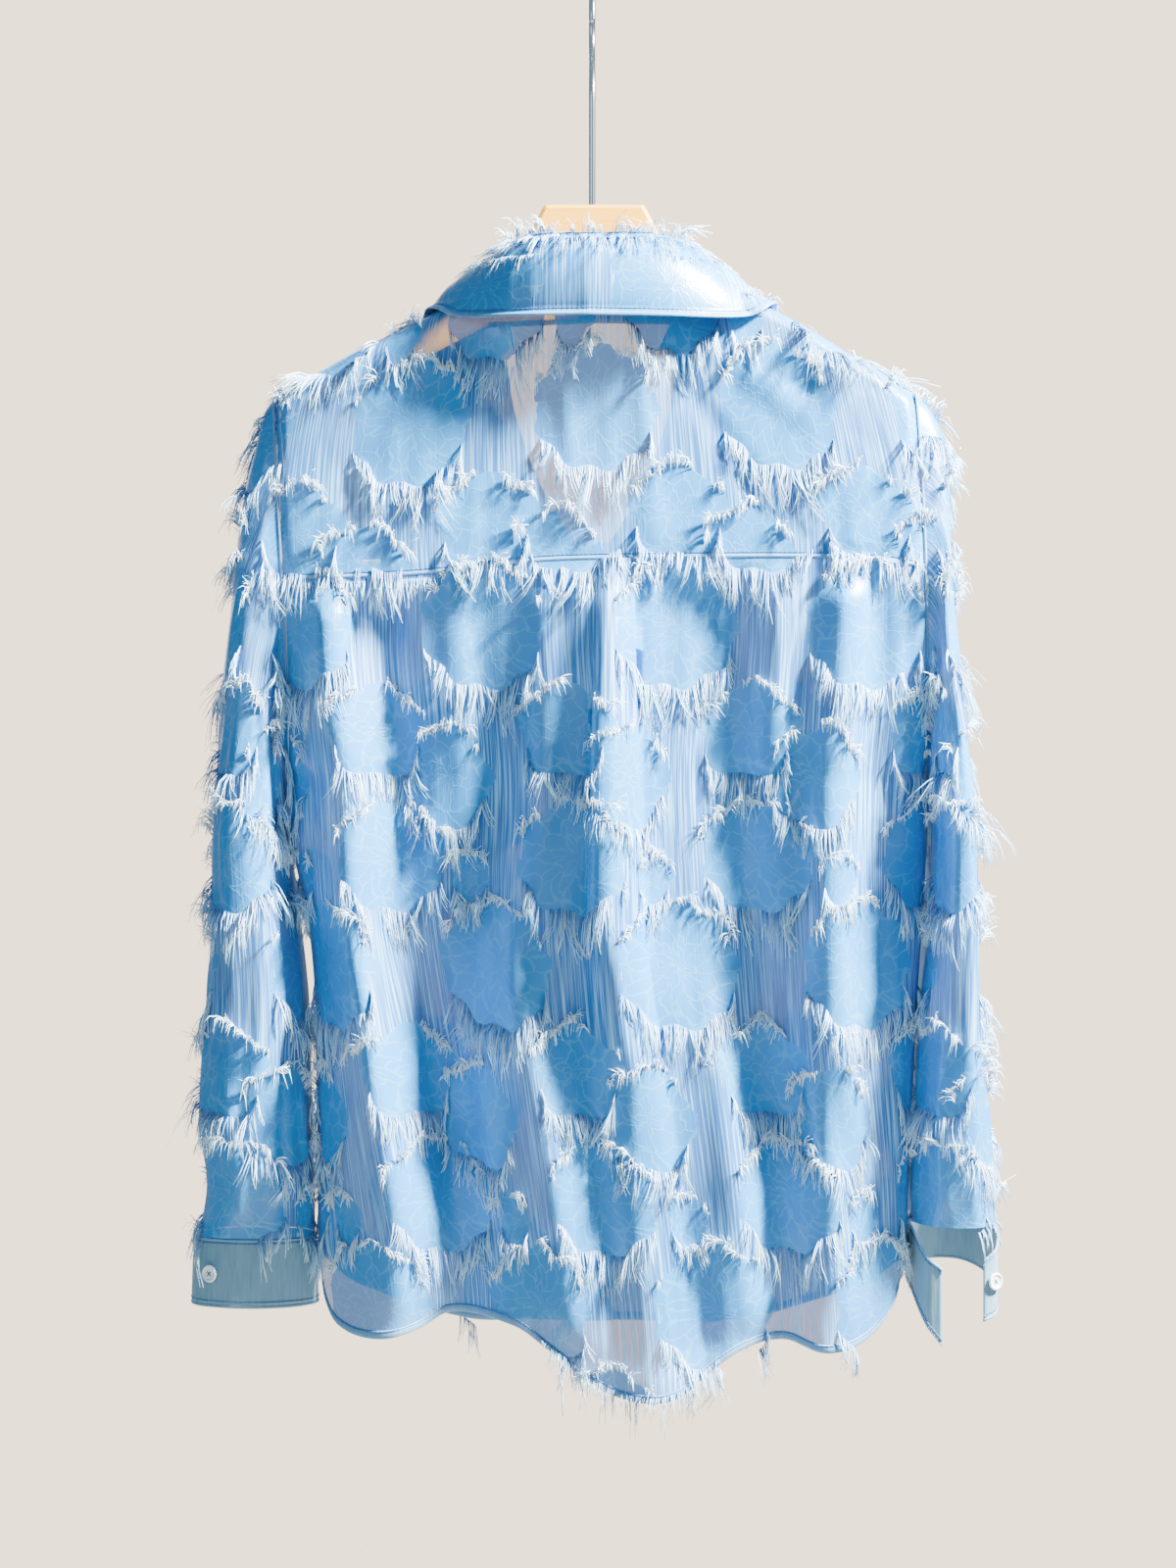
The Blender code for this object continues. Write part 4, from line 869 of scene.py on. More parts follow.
def clipped_jacquard(name, ground="1C6AB2", flower="1776BE", line="4C9FD2", sheer=0.88):
    """The shirt's cloth: see-through between the flowers and dense satin in them."""
    made, tree, shader = finish_named(name, ground, 0.42, Sheen_Weight=0.08, Sheen_Roughness=0.35)
    shader.inputs["Specular IOR Level"].default_value = 0.55
    flat = add(tree, "ShaderNodeUVMap", uv_map="cut").outputs[0]
    wander = add(tree, NOISE, {0: flat, "Scale": EDGE_WAVES, "Detail": 2.0}).outputs[1]
    shift = add(tree, VECTOR_MATH, (wander, (0.5, 0.5, 0.5)), operation="SUBTRACT").outputs[0]
    wide_as = (EDGE_WANDER, EDGE_WANDER, 0.0)
    shift = add(tree, VECTOR_MATH, (shift, wide_as), operation="MULTIPLY").outputs[0]
    cut = add(tree, VECTOR_MATH, (flat, shift), operation="ADD").outputs[0]
    half = (REPEAT[0] / 2, REPEAT[1] / 2, 1.0)
    low = tuple(-side for side in half)
    inside, polar = 0.0, (1.0, 0.0, 0.0)
    for x, y, wide, high, petals, swell, turn in MOTIFS:
        near = add(tree, VECTOR_MATH, (cut, (x, y, 0)), operation="SUBTRACT").outputs[0]
        near = add(tree, VECTOR_MATH, (near, half, low), operation="WRAP").outputs[0]
        shrink = (1 / wide, 1 / high, 0)
        near = add(tree, VECTOR_MATH, (near, shrink), operation="MULTIPLY").outputs[0]
        parts = add(tree, "ShaderNodeSeparateXYZ", (near,)).outputs
        angle = add(tree, MATH, (parts[1], parts[0]), operation="ARCTAN2").outputs[0]
        turned = (angle, float(petals), turn)
        round_it = add(tree, MATH, turned, operation="MULTIPLY_ADD").outputs[0]
        wave = add(tree, MATH, (round_it,), operation="COSINE").outputs[0]
        edge = add(tree, MATH, (wave, swell, 1.0), operation="MULTIPLY_ADD").outputs[0]
        far = add(tree, VECTOR_MATH, (near,), operation="LENGTH").outputs["Value"]
        share = add(tree, MATH, (far, edge), operation="DIVIDE").outputs[0]
        here = add(tree, MATH, (share, 1.0), operation="LESS_THAN").outputs[0]
        inside = add(tree, MATH, (inside, here), operation="MAXIMUM").outputs[0]
        spot = add(tree, "ShaderNodeCombineXYZ", (share, round_it, wave)).outputs[0]
        polar = add(tree, MIX, {0: here, 4: polar, 5: spot}, data_type="VECTOR").outputs[1]
    parts = add(tree, "ShaderNodeSeparateXYZ", (polar,)).outputs
    swirl = (parts[0], PETAL_TURN, parts[1])
    swirl = add(tree, MATH, swirl, operation="MULTIPLY_ADD").outputs[0]
    petals = add(tree, MATH, (swirl, PETAL_PITCH), operation="MULTIPLY").outputs[0]
    layers = add(tree, MATH, (parts[0], PETAL_LAYERS), operation="MULTIPLY").outputs[0]
    drawing = add(tree, "ShaderNodeCombineXYZ", (petals, layers, 0.0)).outputs[0]
    where = {"Vector": drawing, "Scale": 1.0}
    cells = add(tree, "ShaderNodeTexVoronoi", where, feature="DISTANCE_TO_EDGE").outputs[0]
    drawn = add(tree, MAP_RANGE, (cells, 0.015, 0.07, PETAL_LINE, 0.0)).outputs[0]
    drawn = add(tree, MATH, (drawn, inside), operation="MULTIPLY").outputs[0]
    stretched = add(tree, VECTOR_MATH, (flat, STREAKS), operation="MULTIPLY").outputs[0]
    streak = add(tree, NOISE, {0: stretched, "Scale": 1.0, "Detail": 2.0}).outputs[0]
    clouds = add(tree, NOISE, {0: cut, "Scale": 28.0, "Detail": 2.0}).outputs[0]
    pale = add(tree, MAP_RANGE, (streak, 0.46, 0.68, 0.0, 1.0)).outputs[0]
    ends = {0: pale, 6: colour(ground), 7: colour("7CC2F0")}
    ground_mix = add(tree, MIX, ends, data_type="RGBA").outputs[2]
    ends = {0: clouds, 6: colour(flower), 7: colour("2B8AC6")}
    satin_mix = add(tree, MIX, ends, data_type="RGBA").outputs[2]
    ends = {0: drawn, 6: satin_mix, 7: colour(line)}
    satin_mix = add(tree, MIX, ends, data_type="RGBA").outputs[2]
    ends = {0: inside, 6: ground_mix, 7: satin_mix}
    base = add(tree, MIX, ends, data_type="RGBA").outputs[2]
    tree.links.new(base, shader.inputs["Base Color"])
    least, most = sheer - STREAK_STOPS, sheer + STREAK_STOPS
    through = add(tree, MAP_RANGE, (streak, 0.3, 0.75, least, most)).outputs[0]
    dense = add(tree, MAP_RANGE, (inside, 0.0, 1.0, 0.0, FLOWER_STOPS)).outputs[0]
    alpha = add(tree, MATH, (through, dense), operation="MAXIMUM").outputs[0]
    tree.links.new(alpha, shader.inputs["Alpha"])
    rough = add(tree, MAP_RANGE, (inside, 0.0, 1.0, 0.48, 0.34)).outputs[0]
    tree.links.new(rough, shader.inputs["Roughness"])
    grain = add(tree, MATH, (drawn, 0.8, streak), operation="MULTIPLY_ADD").outputs[0]
    relief = {"Strength": 0.35, "Distance": 0.0004, "Height": grain}
    tree.links.new(add(tree, "ShaderNodeBump", relief).outputs[0], shader.inputs["Normal"])
    return made


shirt_cloth = clipped_jacquard("clipped jacquard, organza ground and satin flowers")

# %% [markdown]
# ## Doubled cloth and sewing thread
#
# The cuffs, the collar's stand, the placket and the hems are two or three layers of the same
# cloth, most of them over a light interfacing, so they look greyer and let less light through.
# The grey blue of the cuffs, the stand and the placket is also darkened as painted shade.
# The sewing thread is a matching polyester thread, a little darker than the cloth.

# %% Finishes for the sewn parts
def doubled_cloth(name, base, dense):
    """Layers of the ground cloth over interfacing."""
    made, tree, shader = finish_named(name, base, 0.5, Sheen_Weight=0.3, Sheen_Roughness=0.4)
    place = add(tree, "ShaderNodeTexCoord").outputs["Object"]
    stretched = add(tree, VECTOR_MATH, (place, (700, 700, 60)), operation="MULTIPLY").outputs[0]
    streak = add(tree, NOISE, {0: stretched, "Scale": 1.0, "Detail": 2.0}).outputs[0]
    ends = {0: streak, 6: colour(base), 7: colour("7AA3B6")}
    pale = add(tree, MIX, ends, data_type="RGBA").outputs[2]
    tree.links.new(pale, shader.inputs["Base Color"])
    shader.inputs["Alpha"].default_value = dense
    relief = {"Strength": 0.3, "Distance": 0.0003, "Height": streak}
    tree.links.new(add(tree, "ShaderNodeBump", relief).outputs[0], shader.inputs["Normal"])
    return made


# The cuffs' grey blue comes partly from the doubled cloth over interfacing and partly from painted shade
# for the body's shadow on the cuffs. The stand and the placket share it.
doubled_cloth_with_painted_shade = doubled_cloth("doubled organza over interfacing, with painted shade", "537F95", 0.97)
hem_cloth = doubled_cloth("rolled hem of organza", "2F80C4", 0.92)
sewing_thread = finish_named("polyester sewing thread", "235F9C", 0.5)[0]

# %% [markdown]
# ## The yoke and the back
#
# The yoke is one piece of cloth from a seam across the back, over both shoulders, to a seam
# just down the front. The back hangs from it, with a box pleat in the middle and a shirt tail.
# Both are single layers here, because a sheer cloth with two faces would block twice the light.

# %% Cut the yoke
# The yoke's measure down ends here, at its seam, where the back's measure begins.
YOKE_SEAM_DOWN = 0.3775
# How far the yoke was moved across and down the woven cloth before it was cut.
YOKE_SHIFT = (0.0556, 0.1425)
yoke_columns = [2 * i / 110 - 1 for i in range(111)]
first_half = 0.5 * np.linspace(0, 1, 44)
yoke_rows = [*first_half, *(0.5 + first_half[1:])]
yoke_panel = Panel(yoke_point, yoke_columns, yoke_rows, BACKWARD)
yoke_panel.across = yoke_panel.measure_across(len(yoke_columns) // 2)
yoke_panel.down = yoke_panel.measure_down(YOKE_SEAM_DOWN)
# Each crease: from across and down, to across and down, its half width and its height.
YOKE_CREASES = (
    (-0.060, 0.215, -0.150, 0.300, 0.016, 0.0016),
    (-0.050, 0.235, -0.100, 0.340, 0.014, -0.0016),
    (0.055, 0.215, 0.150, 0.290, 0.016, 0.0018),
    (0.050, 0.240, 0.110, 0.345, 0.014, -0.0018),
    (-0.020, 0.250, -0.014, 0.370, 0.012, 0.0014),
    (0.028, 0.245, 0.034, 0.372, 0.014, 0.0016),
    (-0.170, 0.300, -0.150, 0.376, 0.014, -0.0014),
    (0.180, 0.300, 0.165, 0.376, 0.014, 0.0016),
)
yoke_panel.lift(crease_lift(YOKE_CREASES, yoke_panel.across, yoke_panel.down))
yoke_panel.lift(ripples(yoke_panel.across, yoke_panel.down, 0.00022, 3))
yoke_panel.across += YOKE_SHIFT[0]
yoke_panel.down += YOKE_SHIFT[1]
print("yoke cut", yoke_panel.flat_size(), "area", yoke_panel.flat_area())

# %% Cut the back
pleat_columns = [PLEAT_SHARE * m for m in np.linspace(-1, 1, 31)]
side_columns = [PLEAT_SHARE + (1 - PLEAT_SHARE) * t for t in np.linspace(0, 1, 52)[1:]]
back_columns = [-a for a in reversed(side_columns)] + pleat_columns + side_columns
back_panel_cut = Panel(back_point, back_columns, np.linspace(0, 1, 112), BACKWARD)
pleat_end = PLEAT_SHARE + 1e-6
pairs = zip(back_columns, back_columns[1:])
in_pleat = np.array([max(abs(a), abs(b)) <= pleat_end for a, b in pairs])
back_panel_cut.measure(weight=in_pleat)
back_panel_cut.across += PLEAT_X
# The broad folds that the back hangs in. They are lifted straight out, so the hidden layers of
# the pleat stay in order.
BACK_FOLD_LINES = (
    (-0.178, 0.360, -0.176, 0.800, 0.030, 0.0120),
    (-0.138, 0.360, -0.136, 0.800, 0.034, -0.0170),
    (-0.112, 0.360, -0.108, 0.720, 0.040, -0.0060),
    (-0.074, 0.360, -0.072, 0.620, 0.030, -0.0050),
    (-0.030, 0.360, -0.028, 0.660, 0.026, 0.0050),
    (-0.002, 0.345, 0.002, 0.660, 0.031, 0.0105),
    (0.060, 0.370, 0.056, 0.660, 0.030, -0.0065),
    (0.088, 0.360, 0.092, 0.760, 0.040, -0.0100),
    (0.124, 0.370, 0.124, 0.720, 0.026, 0.0060),
    (0.166, 0.360, 0.160, 0.740, 0.034, 0.0105),
    (-0.060, 0.640, -0.040, 0.900, 0.034, 0.0060),
    (0.006, 0.700, 0.030, 0.930, 0.034, -0.0070),
    (0.072, 0.690, 0.078, 0.900, 0.030, 0.0060),
    (-0.160, 0.640, -0.172, 0.900, 0.030, 0.0060),
)
BACK_CREASES = (
    (-0.170, 0.380, -0.160, 0.640, 0.018, 0.0024),
    (-0.092, 0.380, -0.086, 0.600, 0.016, 0.0022),
    (-0.050, 0.378, -0.056, 0.560, 0.014, -0.0020),
    (-0.030, 0.378, -0.036, 0.640, 0.010, 0.0018),
    (0.060, 0.378, 0.066, 0.600, 0.014, 0.0022),
    (0.128, 0.378, 0.132, 0.560, 0.012, -0.0018),
    (0.188, 0.378, 0.186, 0.520, 0.012, -0.0020),
    (-0.140, 0.640, -0.150, 0.880, 0.016, 0.0024),
    (-0.105, 0.620, -0.112, 0.870, 0.013, -0.0022),
    (-0.055, 0.600, -0.046, 0.880, 0.015, 0.0026),
    (-0.020, 0.640, -0.006, 0.900, 0.013, -0.0022),
    (0.070, 0.640, 0.082, 0.900, 0.014, 0.0024),
    (0.112, 0.600, 0.100, 0.880, 0.012, -0.0020),
    (0.140, 0.660, 0.150, 0.885, 0.014, 0.0024),
    (0.176, 0.600, 0.182, 0.860, 0.013, -0.0022),
)
folds = crease_lift(BACK_FOLD_LINES, back_panel_cut.across, back_panel_cut.down)
back_panel_cut.lift(folds, hold=0.03, straight=True)
back_panel_cut.lift(crease_lift(BACK_CREASES, back_panel_cut.across, back_panel_cut.down))
back_panel_cut.lift(ripples(back_panel_cut.across, back_panel_cut.down, 0.00030, 5))
print("back cut", back_panel_cut.flat_size(), "area", back_panel_cut.flat_area())

# %% [markdown]
# ## The fronts, the placket and the pocket
#
# The right front laps over the left. The placket is a folded band down the right front's edge,
# and the pocket is a patch with a pointed bottom, sewn on the wearer's left.

# %% Cut the fronts
# How far the fronts were moved across the woven cloth before they were cut.
FRONT_SHIFT = 0.235


def cut_front(hand):
    """A front's panel: hand is -1 for the left one and 1 for the right one."""
    columns = [(1 - PLACKET_SHARE) * t for t in np.linspace(0, 1, 54)] + [0.9, 0.95, 1.0]
    rows = [share**1.2 for share in np.linspace(0, 1, 104)]
    panel = Panel(lambda u, v: front_point(hand, u, v), columns, rows, FORWARD)
    panel.measure(0)
    panel.across -= FRONT_SHIFT
    return panel


FRONT_CREASES = (
    (-0.040, 0.300, -0.036, 0.560, 0.014, 0.0018),
    (-0.075, 0.330, -0.085, 0.600, 0.018, -0.0020),
    (-0.120, 0.290, -0.130, 0.640, 0.018, 0.0024),
    (-0.160, 0.340, -0.158, 0.700, 0.014, -0.0020),
    (-0.060, 0.560, -0.052, 0.860, 0.015, 0.0020),
    (-0.100, 0.600, -0.112, 0.880, 0.016, -0.0024),
    (-0.150, 0.640, -0.140, 0.870, 0.015, 0.0024),
)
front_cuts = {}
for name, hand in (("front_left", -1), ("front_right", 1)):
    panel = cut_front(hand)
    amount = crease_lift(FRONT_CREASES, panel.across, panel.down)
    amount += ripples(panel.across, panel.down, 0.00026, 11 + hand)
    clear_edge = np.clip((np.abs(panel.points[:, :, 0]) - 0.022) / 0.02, 0, 1)
    panel.lift(amount * clear_edge)
    front_cuts[name] = panel
    print(name, "cut", panel.flat_size(), "area", panel.flat_area())

# %% Cut the placket and the pocket
placket_lift = (WALL + LAYER_GAP) * 1.15
placket_panel = Panel(
    lambda u, v: front_point(1, u, v, placket_lift),
    [1 - PLACKET_SHARE + PLACKET_SHARE * t for t in np.linspace(0, 1, 9)],
    [share**1.2 for share in np.linspace(0, 1, 90)],
    FORWARD,
)
placket_panel.measure()


def pocket_place(s, v):
    """The pocket's point, kept in front of the cloth that it is sewn to."""
    spot = pocket_point(s, v)
    found = front_cuts["front_left"].near(spot.x, spot.z)
    return Vector((spot.x, max(spot.y, found) + 0.0012, spot.z))


# %% [markdown]
# ## The sleeves
#
# The sleeves are tubes set into the armholes and gathered lightly into the cuffs. They hang
# straight, with one or two long soft folds, and wrinkle more just above the cuff.

# %% Cut the sleeves
sleeve_turns = [0.5 + k / 96 for k in range(97)]
sleeve_downs = np.linspace(0, 1, 120)
# The column in the middle of a sleeve's back.
FACING = 72
SLEEVE_CREASES = (
    (-0.050, 0.300, -0.062, 0.520, 0.014, 0.0020),
    (0.010, 0.320, 0.020, 0.560, 0.013, 0.0018),
    (0.045, 0.380, 0.040, 0.640, 0.014, -0.0026),
    (-0.030, 0.480, -0.024, 0.700, 0.012, -0.0020),
    (0.012, 0.600, 0.000, 0.800, 0.012, 0.0024),
    (-0.050, 0.640, -0.040, 0.812, 0.010, 0.0022),
    (0.026, 0.690, 0.020, 0.815, 0.008, -0.0030),
    (-0.014, 0.720, -0.010, 0.815, 0.007, 0.0022),
    (0.044, 0.730, 0.040, 0.815, 0.007, 0.0022),
    (0.100, 0.400, 0.110, 0.760, 0.016, 0.0026),
    (-0.110, 0.400, -0.100, 0.760, 0.016, -0.0024),
)
sleeve_cuts = {}
for name, hand in (("sleeve_left", -1), ("sleeve_right", 1)):
    panel = Panel(
        lambda turn, w: sleeve_point(hand, turn % 1.0, w),
        sleeve_turns,
        sleeve_downs,
        Vector((hand, 0, 0)),
        closed=True,
    )
    panel.measure(FACING)
    panel.across *= -hand
    amount = crease_lift(SLEEVE_CREASES, panel.across, panel.down)
    amount += ripples(panel.across, panel.down, 0.00028, 21 + hand)
    panel.lift(amount, hold=0.02, sides=False)
    sleeve_cuts[name] = panel
    print(name, "cut", panel.flat_size(), "area", panel.flat_area())

# %% [markdown]
# ## Sewing the panels into sheets
#
# Each panel becomes one sheet of cloth, and the solid whose place it takes is hidden. The cuffs,
# the collar and the placket are folded double, so they get a wall of cloth with a Solidify modifier.

# %% Hang the sheets
thin_cloth = clipped_jacquard("clipped jacquard against the light", sheer=0.80)
yoke_cloth = sheet_from("yoke_cloth", yoke_panel, thin_cloth)
back_cloth = sheet_from("back_cloth", back_panel_cut, shirt_cloth)
front_cloths, sleeve_cloths = (
    {name: sheet_from(name + "_cloth", panel, shirt_cloth) for name, panel in cuts.items()}
    for cuts in (front_cuts, sleeve_cuts)
)
placket_cloth = sheet_from("placket_cloth", placket_panel, doubled_cloth_with_painted_shade, 0.0009)

# From the pocket's left side to its middle.
POCKET_MIDDLE = 0.048
pocket_panel = Panel(pocket_place, np.linspace(0, 1, 36), np.linspace(0, 1, 40), FORWARD)
pocket_panel.measure()
pocket_panel.across = pocket_panel.across + POCKET_LEFT + POCKET_MIDDLE
pocket_cloth = sheet_from("pocket_cloth", pocket_panel, shirt_cloth)


# %% The collar's leaf rolls over at its fold
# The radius of the roll, and the share of the leaf that it takes.
LEAF_ROLL, ROLLED = 0.0013, 0.10


def leaf_place(c, v):
    """The leaf from inside its rolled fold, v below 0, down to its edge at 1."""
    if v >= 0:
        return leaf_point(c, v)
    turn = math.pi * min(1.0, -v / ROLLED)
    inwards = collar_out(c) * LEAF_ROLL * (1 - math.cos(turn))
    drop = max(0.0, -v - ROLLED) * 0.05
    rise = Vector((0, 0, LEAF_ROLL * math.sin(turn) - drop))
    return collar_line(c, FOLD) - inwards + rise


collar_columns = np.linspace(-1, 1, 141)
leaf_rows = [-0.2, -0.15, -0.1, -0.08, -0.06, -0.04, -0.02] + list(np.linspace(0, 1, 34))
leaf_panel = Panel(leaf_place, collar_columns, leaf_rows, BACKWARD)
leaf_panel.measure()
leaf_panel.lift(ripples(leaf_panel.across, leaf_panel.down, 0.00012, 31), hold=0.01)
collar_cloth = clipped_jacquard(
    "satin side of the jacquard, lined", ground="1B6CAE", flower="1D70B2", sheer=0.97
)
leaf_cloth = sheet_from("collar_leaf_cloth", leaf_panel, collar_cloth, 0.0007)
stand_columns = [c * STAND_END for c in np.linspace(-1, 1, 91)]
stand_panel = Panel(stand_point, stand_columns, np.linspace(0, 1, 9), BACKWARD)
stand_panel.measure()
stand_cloth = sheet_from("collar_stand_cloth", stand_panel, doubled_cloth_with_painted_shade, 0.0008)

# %% The cuffs
cuff_columns, cuff_rows = np.linspace(0, 1, 91), np.linspace(0, 1, 14)
cuff_panels = {
    "cuff_left": Panel(left_cuff_point, cuff_columns, cuff_rows, Vector((1, 0, 0))),
    "cuff_right": Panel(right_cuff_point, cuff_columns, cuff_rows, FORWARD),
}
cuff_cloths = {}
for seed, (name, panel) in enumerate(cuff_panels.items(), 41):
    panel.measure()
    panel.lift(ripples(panel.across, panel.down, 0.00010, seed), hold=0.008)
    cuff_cloths[name] = sheet_from(name + "_cloth", panel, doubled_cloth_with_painted_shade, 0.0010)

# %% Each sheet takes its solid's place
for sheet, node in (
    (yoke_cloth, "yoke"),
    (back_cloth, "back_panel"),
    (front_cloths["front_left"], "front_left"),
    (front_cloths["front_right"], "front_right"),
    (sleeve_cloths["sleeve_left"], "sleeve_left"),
    (sleeve_cloths["sleeve_right"], "sleeve_right"),
    (placket_cloth, "placket"),
    (pocket_cloth, "pocket"),
    (leaf_cloth, "collar_leaf"),
    (stand_cloth, "collar_stand"),
    (cuff_cloths["cuff_left"], "cuff_left"),
    (cuff_cloths["cuff_right"], "cuff_right"),
):
    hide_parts(node)

# %% [markdown]
# ## Hems and seams
#
# A rolled hem is a small fold of cloth sewn down along an edge. It is a flat oval swept along
# that edge, like a narrow tape. The same tape covers each seam, where two layers of cloth lie
# turned back and show darker through the sheer cloth.

# %% A tape swept along an edge
def tape(name, points, outwards, downs, width, thick, finish, round_it=False):
    """A flat oval band: its middle line, its outward and its downward directions."""
    count, ring = len(points), 8
    bm = bmesh.new()
    bmesh.ops.create_grid(bm, x_segments=count - 1, y_segments=ring, size=0.5)
    for vert in bm.verts:
        i = round((vert.co.x + 0.5) * (count - 1))
        k = round((vert.co.y + 0.5) * ring) % ring
        angle = 2 * math.pi * k / ring
        along = math.copysign(abs(math.cos(angle)) ** 0.6, math.cos(angle)) * width / 2
        vert.co = points[i] + downs[i] * along + outwards[i] * math.sin(angle) * thick / 2
    bmesh.ops.remove_doubles(bm, verts=bm.verts, dist=0.00001)
    if not round_it:
        rims = [edge for edge in bm.edges if edge.is_boundary]
        bmesh.ops.holes_fill(bm, edges=rims, sides=0)
    bmesh.ops.recalc_face_normals(bm, faces=bm.faces)
    made = put(name, bm, finish)
    return made


def unit(arrows):
    """Arrows with the length 1."""
    return arrows / (np.linalg.norm(arrows, axis=-1, keepdims=True) + 1e-12)


def run_along(line):
    """How far along a line each of its points is."""
    return np.concatenate(([0], np.cumsum(np.linalg.norm(np.diff(line, axis=0), axis=1))))


def read_off(spots, run, field):
    """What a line, or its outward directions, is at distances along it."""
    return np.stack([np.interp(spots, run, field[:, k]) for k in range(3)], axis=-1)


def along_row(panel, row, shift, out=0.0):
    """A panel's row as a line, moved down the cloth by shift and out by out."""
    step = 1 if row == 0 else -1
    down = unit(panel.points[row] - panel.points[row + step]) * (-1 if row == 0 else 1)
    line = panel.points[row] + down * shift + panel.normals[row] * out
    return line, panel.normals[row], down


def along_column(panel, column, shift, out=0.0):
    """A panel's column as a line, moved across the cloth by shift and out by out."""
    step = 1 if column == 0 else -1
    away = unit(panel.points[:, column] - panel.points[:, column + step])
    line = panel.points[:, column] + away * shift + panel.normals[:, column] * out
    return line, panel.normals[:, column], away


# The width of a rolled hem.
HEM = 0.0056
hems = {
    "back": [tape("hem_back", *along_row(back_panel_cut, -1, -HEM / 2), HEM, 0.0013, hem_cloth)],
    "yoke": [
        tape("seam_yoke_back", *along_row(yoke_panel, -1, 0.0002, 0.0001), 0.0024, 0.0011, hem_cloth),
        tape("allowance_yoke", *along_row(yoke_panel, -1, -0.0052, -0.0007), 0.0100, 0.0005, hem_cloth),
    ],
}
for name, panel in front_cuts.items():
    hems[name] = [
        tape("hem_" + name, *along_row(panel, -1, -HEM / 2), HEM, 0.0013, hem_cloth),
        tape("seam_side_" + name, *along_column(panel, 0, 0.0003), 0.0026, 0.0012, hem_cloth),
        tape("seam_shoulder_" + name, *along_row(panel, 0, 0.0002, 0.0001), 0.0026, 0.0011, hem_cloth),
    ]
for name, panel in sleeve_cuts.items():
    armhole = along_row(panel, 0, -0.0004, 0.0002)
    hems[name] = [tape("seam_armhole_" + name, *armhole, 0.0030, 0.0012, hem_cloth, True)]
hems["leaf"] = [tape("edge_collar_leaf", *along_row(leaf_panel, -1, -0.0014), 0.0030, 0.0013, hem_cloth)]
for name, panel in cuff_panels.items():
    hems[name] = [
        tape("edge_top_" + name, *along_row(panel, 0, 0.0008, -0.0002), 0.0022, 0.0016, hem_cloth),
        tape("edge_bottom_" + name, *along_row(panel, -1, -0.0008, -0.0005), 0.0022, 0.0018, doubled_cloth_with_painted_shade),
    ]
hems["pocket"] = [tape("hem_pocket", *along_row(pocket_panel, 0, 0.0070), 0.0140, 0.0008, hem_cloth)]
print("tapes:", sum(len(group) for group in hems.values()))

# %% [markdown]
# ## One small shape, many times
#
# Stitches and threads of the fringe are the same small shape thousands of times over. The shape
# is made once, duplicated until there are enough, and every copy's points are then moved at
# once to their places with one array.

# %% Repeat a shape
def repeated(bm, count):
    """The shape in a bmesh, count times over, one copy after another."""
    verts, faces, have = len(bm.verts), len(bm.faces), 1
    while have < count:
        more = min(have, count - have)
        bm.verts.ensure_lookup_table()
        bm.faces.ensure_lookup_table()
        bmesh.ops.duplicate(bm, geom=bm.verts[: more * verts] + bm.faces[: more * faces])
        have += more
    return bm


def strewn(name, bm, places, finish, values=None):
    """Copies of a shape, their points given as an array of copies by points."""
    pattern = repeated(bm, len(places))
    mesh = bpy.data.meshes.new(name)
    pattern.to_mesh(mesh)
    pattern.free()
    mesh.vertices.foreach_set("co", np.asarray(places, dtype=np.float32).ravel())
    if values is not None:
        corner = np.empty(len(mesh.loops), dtype=np.int32)
        mesh.loops.foreach_get("vertex_index", corner)
        strand = mesh.uv_layers.new(name="strand")
        strand.data.foreach_set("uv", values.reshape(-1, 2)[corner].astype(np.float32).ravel())
    mesh.materials.append(finish)
    mesh.shade_smooth()
    mesh.update()
    made = bpy.data.objects.new(name, mesh)
    bpy.context.scene.collection.objects.link(made)
    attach(made, "root")
    return made


# %% [markdown]
# ## Stitches
#
# The seams are top-stitched with a lockstitch, eight stitches to 25 mm. Each stitch is a tiny
# rounded bar pressed into the cloth, with a gap before the next one.

# %% Rows of stitches
# From one stitch to the next, a stitch's length and its radius.
STITCH_PITCH, STITCH_LONG, STITCH_THICK = 0.0031, 0.0023, 0.00024


def stitch_row(line, outward):
    """Stitches along a line: middles, directions along and outward directions."""
    run = run_along(line)
    spots = np.arange(STITCH_PITCH / 2, run[-1], STITCH_PITCH)
    ahead, behind = (read_off(spots + step, run, line) for step in (0.001, -0.001))
    return read_off(spots, run, line), unit(ahead - behind), unit(read_off(spots, run, outward))


def stitches(name, rows):
    """One piece of stitches for several rows."""
    sewn = zip(*(stitch_row(*row[:2]) for row in rows))
    middle, along, out = (np.concatenate(part) for part in sewn)
    bm = bmesh.new()
    bmesh.ops.create_cone(bm, cap_ends=True, segments=5, radius1=1.0, radius2=1.0, depth=1.0)
    caps = [face for face in bm.faces if len(face.verts) == 5]
    bmesh.ops.inset_region(bm, faces=caps, thickness=0.35, depth=0.12)
    shape = np.array([vert.co for vert in bm.verts])
    side = np.cross(along, out)
    places = (
        middle[:, None]
        + along[:, None] * (shape[None, :, 2:3] * STITCH_LONG)
        + side[:, None] * (shape[None, :, 0:1] * STITCH_THICK * 1.3)
        + out[:, None] * (shape[None, :, 1:2] * STITCH_THICK + STITCH_THICK * 0.6)
    )
    made = strewn(name, bm, places, sewing_thread)
    return made


